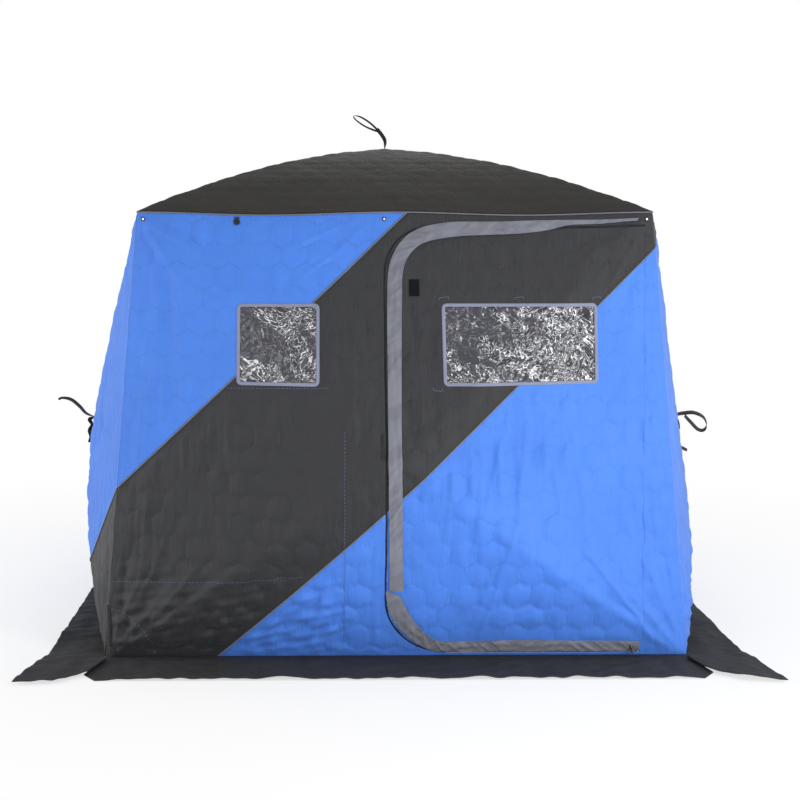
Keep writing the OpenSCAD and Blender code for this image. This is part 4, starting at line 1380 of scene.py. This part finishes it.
class HUT_OT_seams(bpy.types.Operator):
    """Piping along the band's seams"""

    bl_idname = "hut.seams"
    bl_label = "Seam piping"

    def execute(self, context):
        d, w = hut().door, hut().windows
        fixed, moving = [], []
        for side in TURNS:
            for line in wall_seams(side):
                points, _ = spaced(line, 0.006)
                x, z = points[:, 0], points[:, 1]
                hidden = (np.abs(x) > half_at(z) - 0.002) | (z < 0.005)
                for place, width in wall_windows(side):
                    hidden |= in_box(x, z, window_box(place, width, w.binding / 2 - 0.002))
                on_door = np.zeros(len(x), bool)
                if side == "front":
                    left = x < hinge_x(z)
                    on_door = inside(door_line(0.002), x, z) & left
                    hidden |= inside(door_line(-d.gap - 0.001), x, z) & left & ~on_door
                for group, mask in ((fixed, ~hidden & ~on_door), (moving, ~hidden & on_door)):
                    for run in self.runs(points, mask):
                        group.append(along_wall(side, run, oval(PIPING, PIPING), 0.0018))
        solid_piece("band_piping", fixed, "hut", material_named("grey seam piping"))
        solid_piece("door_piping", moving, "door", material_named("grey seam piping"))
        return {"FINISHED"}

    def runs(self, points, mask):
        """Stretches of points where mask holds."""
        runs, run = [], []
        for point, kept in zip(points, mask):
            if kept:
                run.append(point)
            elif run:
                runs.append(run)
                run = []
        runs.append(run)
        return [np.array(r) for r in runs if len(r) > 3]


class HUT_OT_stitches(bpy.types.Operator):
    """Rows of stitches, bar tacks, the corner's webbing, the eave tab and the foot patch"""

    bl_idname = "hut.stitches"
    bl_label = "Stitches and tabs"

    def execute(self, context):
        w = hut().windows
        thread, webbing = material_named("navy thread"), material_named("black webbing")
        x1, x2, z1, _ = window_box(-w.small_x, w.small_width, w.binding)
        foot = -hut().shape.base_width / 2
        rows = [
            [(x1 - 0.03, z1 - 0.006), (x2 + 0.03, z1 + 0.001)],
            [(foot + 0.024, 0.29), (foot + 0.76, 0.345)],
            [(-0.205, 0.06), (-0.202, 0.9)],
            arc(foot + 0.012, 0.006, 0.18, 4, 88, 20),
        ]
        fixed = [dash for row in rows for dash in self.dashes(row)]
        solid_piece("wall_stitches", fixed, "hut", thread)
        _, _, low, high = window_box(w.door_x, w.door_width, w.binding)
        tacks = [(x, high + 0.006, 1) for x in (0.164, 0.453, 0.757)]
        tacks += [(0.131, low + 0.001, -1)]
        bars = []
        for x, z, way in tacks:
            hook = [(x, z), (x, z + 0.008 * way), (x + 0.034, z + 0.012 * way), (x + 0.034, z + 0.003 * way)]
            bars.append(along_wall("front", hook, oval(0.0024, 0.0016), 0.0012, 0.004, quilted=True))
        solid_piece("door_bar_tacks", bars, "door", thread)
        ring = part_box("eave_ring")
        x, z = (ring[0].x + ring[1].x) / 2, ring[1].z
        # ends of each strip, its width, thickness, height off the wall and step along it
        strips = [
            ([(foot + 0.016, 0.03), (foot + 0.012, 0.2)], 0.016, 0.002, 0.002, 0.012),
            ([(foot + 0.022, 0.004), (foot + 0.022, 0.042)], 0.034, 0.003, 0.0035, 0.006),
            ([(x, z - 0.01), (x, z + 0.018)], 0.02, 0.0025, 0.003, 0.004),
        ]
        strips = [
            along_wall("front", line, tape(width, thick), proud, step, quilted=True)
            for line, width, thick, proud, step in strips
        ]
        solid_piece("corner_webbing", strips, "hut", webbing)
        return {"FINISHED"}

    def dashes(self, row):
        """Stitches 8 mm long and 6 mm apart along a row."""
        step, stitch, pitch = 0.0007, 13, 20
        line, _ = spaced(row, step)
        return [
            along_wall("front", line[k : k + stitch], oval(0.0022, 0.0014, 6), 0.0012, 0.003, quilted=True)
            for k in range(0, len(line) - stitch, pitch)
        ]


class HUT_OT_straps(bpy.types.Operator):
    """Webbing pull straps over the hubs"""

    bl_idname = "hut.straps"
    bl_label = "Pull straps"

    # sideways place, height and turn of the webbing's face towards the front, in degrees
    RIGHT_LOOP = [
        (1.3503, 0.786, 20), (1.376, 0.793, 40), (1.404, 0.798, 60), (1.45, 0.8, 62), (1.494, 0.78, 45),
        (1.511, 0.745, 20), (1.498, 0.719, -35), (1.47, 0.722, -58), (1.434, 0.758, -60),
        (1.408, 0.786, -50),
    ]
    RIGHT_TAIL = [(1.3503, 0.784, 10), (1.366, 0.774, 60), (1.376, 0.75, 70), (1.381, 0.722, 50)]
    RIGHT_TAG = [(1.346, 0.652, 0), (1.382, 0.642, 30), (1.402, 0.632, 50), (1.42, 0.624, 40)]
    LEFT_STRAP = [
        (-1.3503, 0.786, 10), (-1.39, 0.802, 50), (-1.422, 0.836, 65), (-1.46, 0.866, 62),
        (-1.5, 0.874, 40), (-1.518, 0.866, 25),
    ]
    LEFT_TAIL = [
        (-1.3503, 0.784, 10), (-1.374, 0.774, 65), (-1.364, 0.75, 30), (-1.374, 0.722, 70),
        (-1.368, 0.694, 50), (-1.374, 0.666, 65),
    ]
    BACK_STRAP = [
        (-1.3503, 0.785, 10), (-1.38, 0.789, 35), (-1.408, 0.771, 60), (-1.43, 0.735, 60),
        (-1.44, 0.693, 50),
    ]
    ROOF_STEM = [(0.0, 2.0325, 0), (0.002, 2.068, 50), (-0.012, 2.096, 62), (-0.036, 2.126, 55)]
    ROOF_LOOP = [
        (-0.028, 2.116, 50), (-0.066, 2.152, 45), (-0.108, 2.179, 35), (-0.138, 2.187, 0),
        (-0.143, 2.178, -20), (-0.122, 2.158, -30), (-0.088, 2.136, -35), (-0.05, 2.12, -50),
        (-0.03, 2.114, -50),
    ]

    def execute(self, context):
        webbing = material_named("black webbing")
        sides = (self.RIGHT_LOOP, self.RIGHT_TAIL, self.RIGHT_TAG, self.LEFT_STRAP, self.LEFT_TAIL)
        grids = [self.ribbon(route) for route in sides]
        back = self.ribbon(self.BACK_STRAP)
        grids.append(np.stack([back[..., 1], -back[..., 0], back[..., 2]], -1))
        x = -hut().door.left - hut().door.gap - 0.0065
        low = hut().shape.hub_height + 0.013
        grids.append(along_wall("front", [(x, low), (x, low + 0.09)], tape(0.013, 0.003), 0.004, 0.006))
        walls = solid_piece("wall_straps", grids, "hut", webbing)
        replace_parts(walls, "wall_pull_straps")
        roof = [self.ribbon(self.ROOF_STEM), self.ribbon(self.ROOF_LOOP, 0.011)]
        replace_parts(solid_piece("roof_strap", roof, "hut", webbing), "roof_pull_strap")
        return {"FINISHED"}

    def ribbon(self, route, width=0.019):
        """Stiff webbing along a smoothed route, turned about its own line."""
        line = smoothed(route)
        path = np.stack([line[:, 0], np.zeros(len(line)), line[:, 1]], -1)
        ahead = unit(np.gradient(path, axis=0))
        turn = np.radians(line[:, 2])[:, None]
        level = np.tile([0.0, 1.0, 0.0], (len(line), 1))
        across = level * np.cos(turn) + np.cross(ahead, level) * np.sin(turn)
        return skin(path, across, np.cross(across, ahead), tape(width, 0.0022))


class HUT_OT_frame(bpy.types.Operator):
    """Finishes of the hub frame and the small hard parts that keep their CAD shape"""

    bl_idname = "hut.frame"
    bl_label = "Hub frame"

    def execute(self, context):
        finishes = {
            "pultruded fibreglass": ["front_poles", "back_poles", "left_poles", "right_poles", "roof_poles"],
            "moulded hub nylon": ["hubs", "corner_sockets"],
            "lacquered brass eyelet": ["eyelets", "eave_ring"],
        }
        for name, nodes in finishes.items():
            for node in nodes:
                for slot in frame["nodes"][node].material_slots:
                    slot.material = material_named(name)
        heads = [self.rivet(side, x, z) for side in ("front", "back") for x, z in self.eyelets()]
        solid_piece("eyelet_rivets", heads, "hut", material_named("nickel-plated rivet"))
        return {"FINISHED"}

    def eyelets(self):
        """Middles of the eyelets under the eave: near both ends, and beside the door."""
        edge = 0.026
        z = hut().shape.eave_height - edge
        end = half_at(z) - edge
        return [(-end, z), (-hut().door.left, z), (end, z)]

    def rivet(self, side, x, z):
        """A low bright dome in the middle of an eyelet."""
        spot = np.array([x]), np.array([z])
        out, _, up = (a[0] for a in wall_directions(side, *spot))
        middle = on_wall(side, *spot, 0.0012)[0]
        across = np.cross(up, out)
        turn = np.linspace(0, 2 * math.pi, 17)[None, :, None]
        rise = np.radians([0, 0, 30, 60, 90])[:, None, None]
        radius = 0.0052 * np.cos(rise) * np.array([0, 1, 1, 1, 1])[:, None, None]
        return middle + radius * (across * np.cos(turn) + up * np.sin(turn)) + out * (0.0026 * np.sin(rise))


class HUT_OT_stage(bpy.types.Operator):
    """Pale floor, white surround, soft lamps and the camera"""

    bl_idname = "hut.stage"
    bl_label = "Stage"

    # name, place, aim, width and watts
    LAMPS = [
        ("key", (4.1, -4.6, 4.4), (0, -0.8, 0.8), 1.3, 127),
        ("fill", (-3.8, -4.8, 2.6), (0, -0.8, 0.8), 3.0, 42),
        ("right", (5.6, -1.1, 1.7), (0, 0, 0.8), 2.8, 62),
        ("left", (-5.8, -1.4, 1.6), (0, 0, 0.8), 2.6, 155),
        ("low", (1.8, -4.4, 0.2), (0, -1.2, 0.25), 1.8, 150),
        ("top", (0.3, 0.6, 5.6), (0, 0, 1.0), 3.6, 35),
        ("rear", (0.5, 5.5, 3.2), (0, 0, 1.0), 3.0, 110),
    ]
    LENS, SENSOR, SHIFT = 62.445, 36.0, (0.07, -0.17)
    CAMERA_PLACE, LOOKS_DOWN, LOOKS_RIGHT = (-0.2742, -6.4664, 1.6257), 0.0199, 0.0132

    def execute(self, context):
        scene = context.scene
        scene.view_settings.view_transform = "Standard"
        self.surround(scene)
        self.floor()
        for lamp in self.LAMPS:
            self.lamp(*lamp)
        lens = bpy.data.cameras.new("camera")
        lens.lens, lens.sensor_width = self.LENS, self.SENSOR
        lens.shift_x, lens.shift_y = self.SHIFT
        camera = bpy.data.objects.new("camera", lens)
        camera.location = self.CAMERA_PLACE
        camera.rotation_euler = (math.pi / 2 - self.LOOKS_DOWN, 0, -self.LOOKS_RIGHT)
        scene.collection.objects.link(camera)
        scene.camera = camera
        return {"FINISHED"}

    def surround(self, scene):
        """White to the camera and to glossy and clear things, a plain grey light to the rest."""
        world = scene.world or bpy.data.worlds.new("surround")
        scene.world = world
        world.use_nodes = True
        tree = world.node_tree
        tree.nodes.clear()
        path = add(tree, "LightPath")
        seen = add(tree, "Math", {
            "operation": "MAXIMUM", 0: path.outputs["Is Camera Ray"], 1: path.outputs["Is Glossy Ray"],
        })
        shown = add(tree, "Math", {"operation": "MAXIMUM", 0: seen, 1: path.outputs["Is Transmission Ray"]})
        light = add(tree, "Background", {"Color": (1, 1, 1, 1), "Strength": 0.55})
        white = add(tree, "Background", {"Color": (1, 1, 1, 1), "Strength": 1.0})
        both = add(tree, "MixShader", {0: shown, 1: light, 2: white})
        add(tree, "OutputWorld", {"Surface": both})

    def floor(self):
        """A wide pale floor that keeps the hut's shadow and fades to white."""
        bm = bmesh.new()
        bmesh.ops.create_circle(bm, cap_ends=True, segments=64, radius=30)
        bmesh.ops.translate(bm, verts=bm.verts[:], vec=(0, 0, -0.0005))
        material, tree, spot = new_material("pale studio floor")
        path = add(tree, "LightPath")
        away = add(tree, "VectorMath", {"operation": "LENGTH", 0: spot})
        fade = add(tree, "MapRange", {
            "From Min": 1.6, "From Max": 3.6, "To Min": 0.62, "To Max": 1.0, "Value": away,
        })
        seen = add(tree, "Math", {"operation": "MULTIPLY", 0: fade, 1: path.outputs["Is Camera Ray"]})
        matt = add(tree, "BsdfDiffuse", {"Color": (0.86, 0.86, 0.86, 1)})
        white = add(tree, "Emission", {"Color": (1, 1, 1, 1), "Strength": 1.0})
        both = add(tree, "MixShader", {0: seen, 1: matt, 2: white})
        add(tree, "OutputMaterial", {"Surface": both})
        link("floor", finished("floor", bm), None, [material])

    def lamp(self, name, place, target, size, watts):
        """A square soft lamp aimed at the hut."""
        data = bpy.data.lights.new(name, "AREA")
        data.size, data.energy = size, watts
        lamp = bpy.data.objects.new(name, data)
        lamp.location = place
        lamp.rotation_euler = (Vector(target) - Vector(place)).to_track_quat("-Z", "Y").to_euler()
        bpy.context.scene.collection.objects.link(lamp)


class HUT_PT_panel(bpy.types.Panel):
    """The hut's steps, in the order in which they run, and its settings"""

    bl_idname = "HUT_PT_panel"
    bl_label = "Ice fishing hut"
    bl_space_type = "VIEW_3D"
    bl_region_type = "UI"
    bl_category = "Ice Hut"

    def draw(self, context):
        for step in STEPS:
            self.layout.operator(step.bl_idname)
        for part in HutSettings.__annotations__:
            group, box = getattr(context.scene.hut, part), self.layout.box()
            box.label(text=part.capitalize())
            for name in type(group).__annotations__:
                box.prop(group, name)


STEPS = [
    HUT_OT_stage, HUT_OT_walls, HUT_OT_roof, HUT_OT_skirts, HUT_OT_windows, HUT_OT_door_trim, HUT_OT_seams,
    HUT_OT_stitches, HUT_OT_straps, HUT_OT_frame,
]
CLASSES = [HutShape, HutBand, HutDoor, HutWindows, HutQuilt, HutColours, HutSettings, *STEPS, HUT_PT_panel]


def register():
    for made in CLASSES:
        bpy.utils.register_class(made)
    bpy.types.Scene.hut = PointerProperty(type=HutSettings)


def unregister():
    del bpy.types.Scene.hut
    for made in reversed(CLASSES):
        bpy.utils.unregister_class(made)


def main():
    """Builds every piece in order."""
    register()
    for step in STEPS:
        group, name = step.bl_idname.split(".")
        getattr(getattr(bpy.ops, group), name)()


if __name__ == "__main__":
    main()
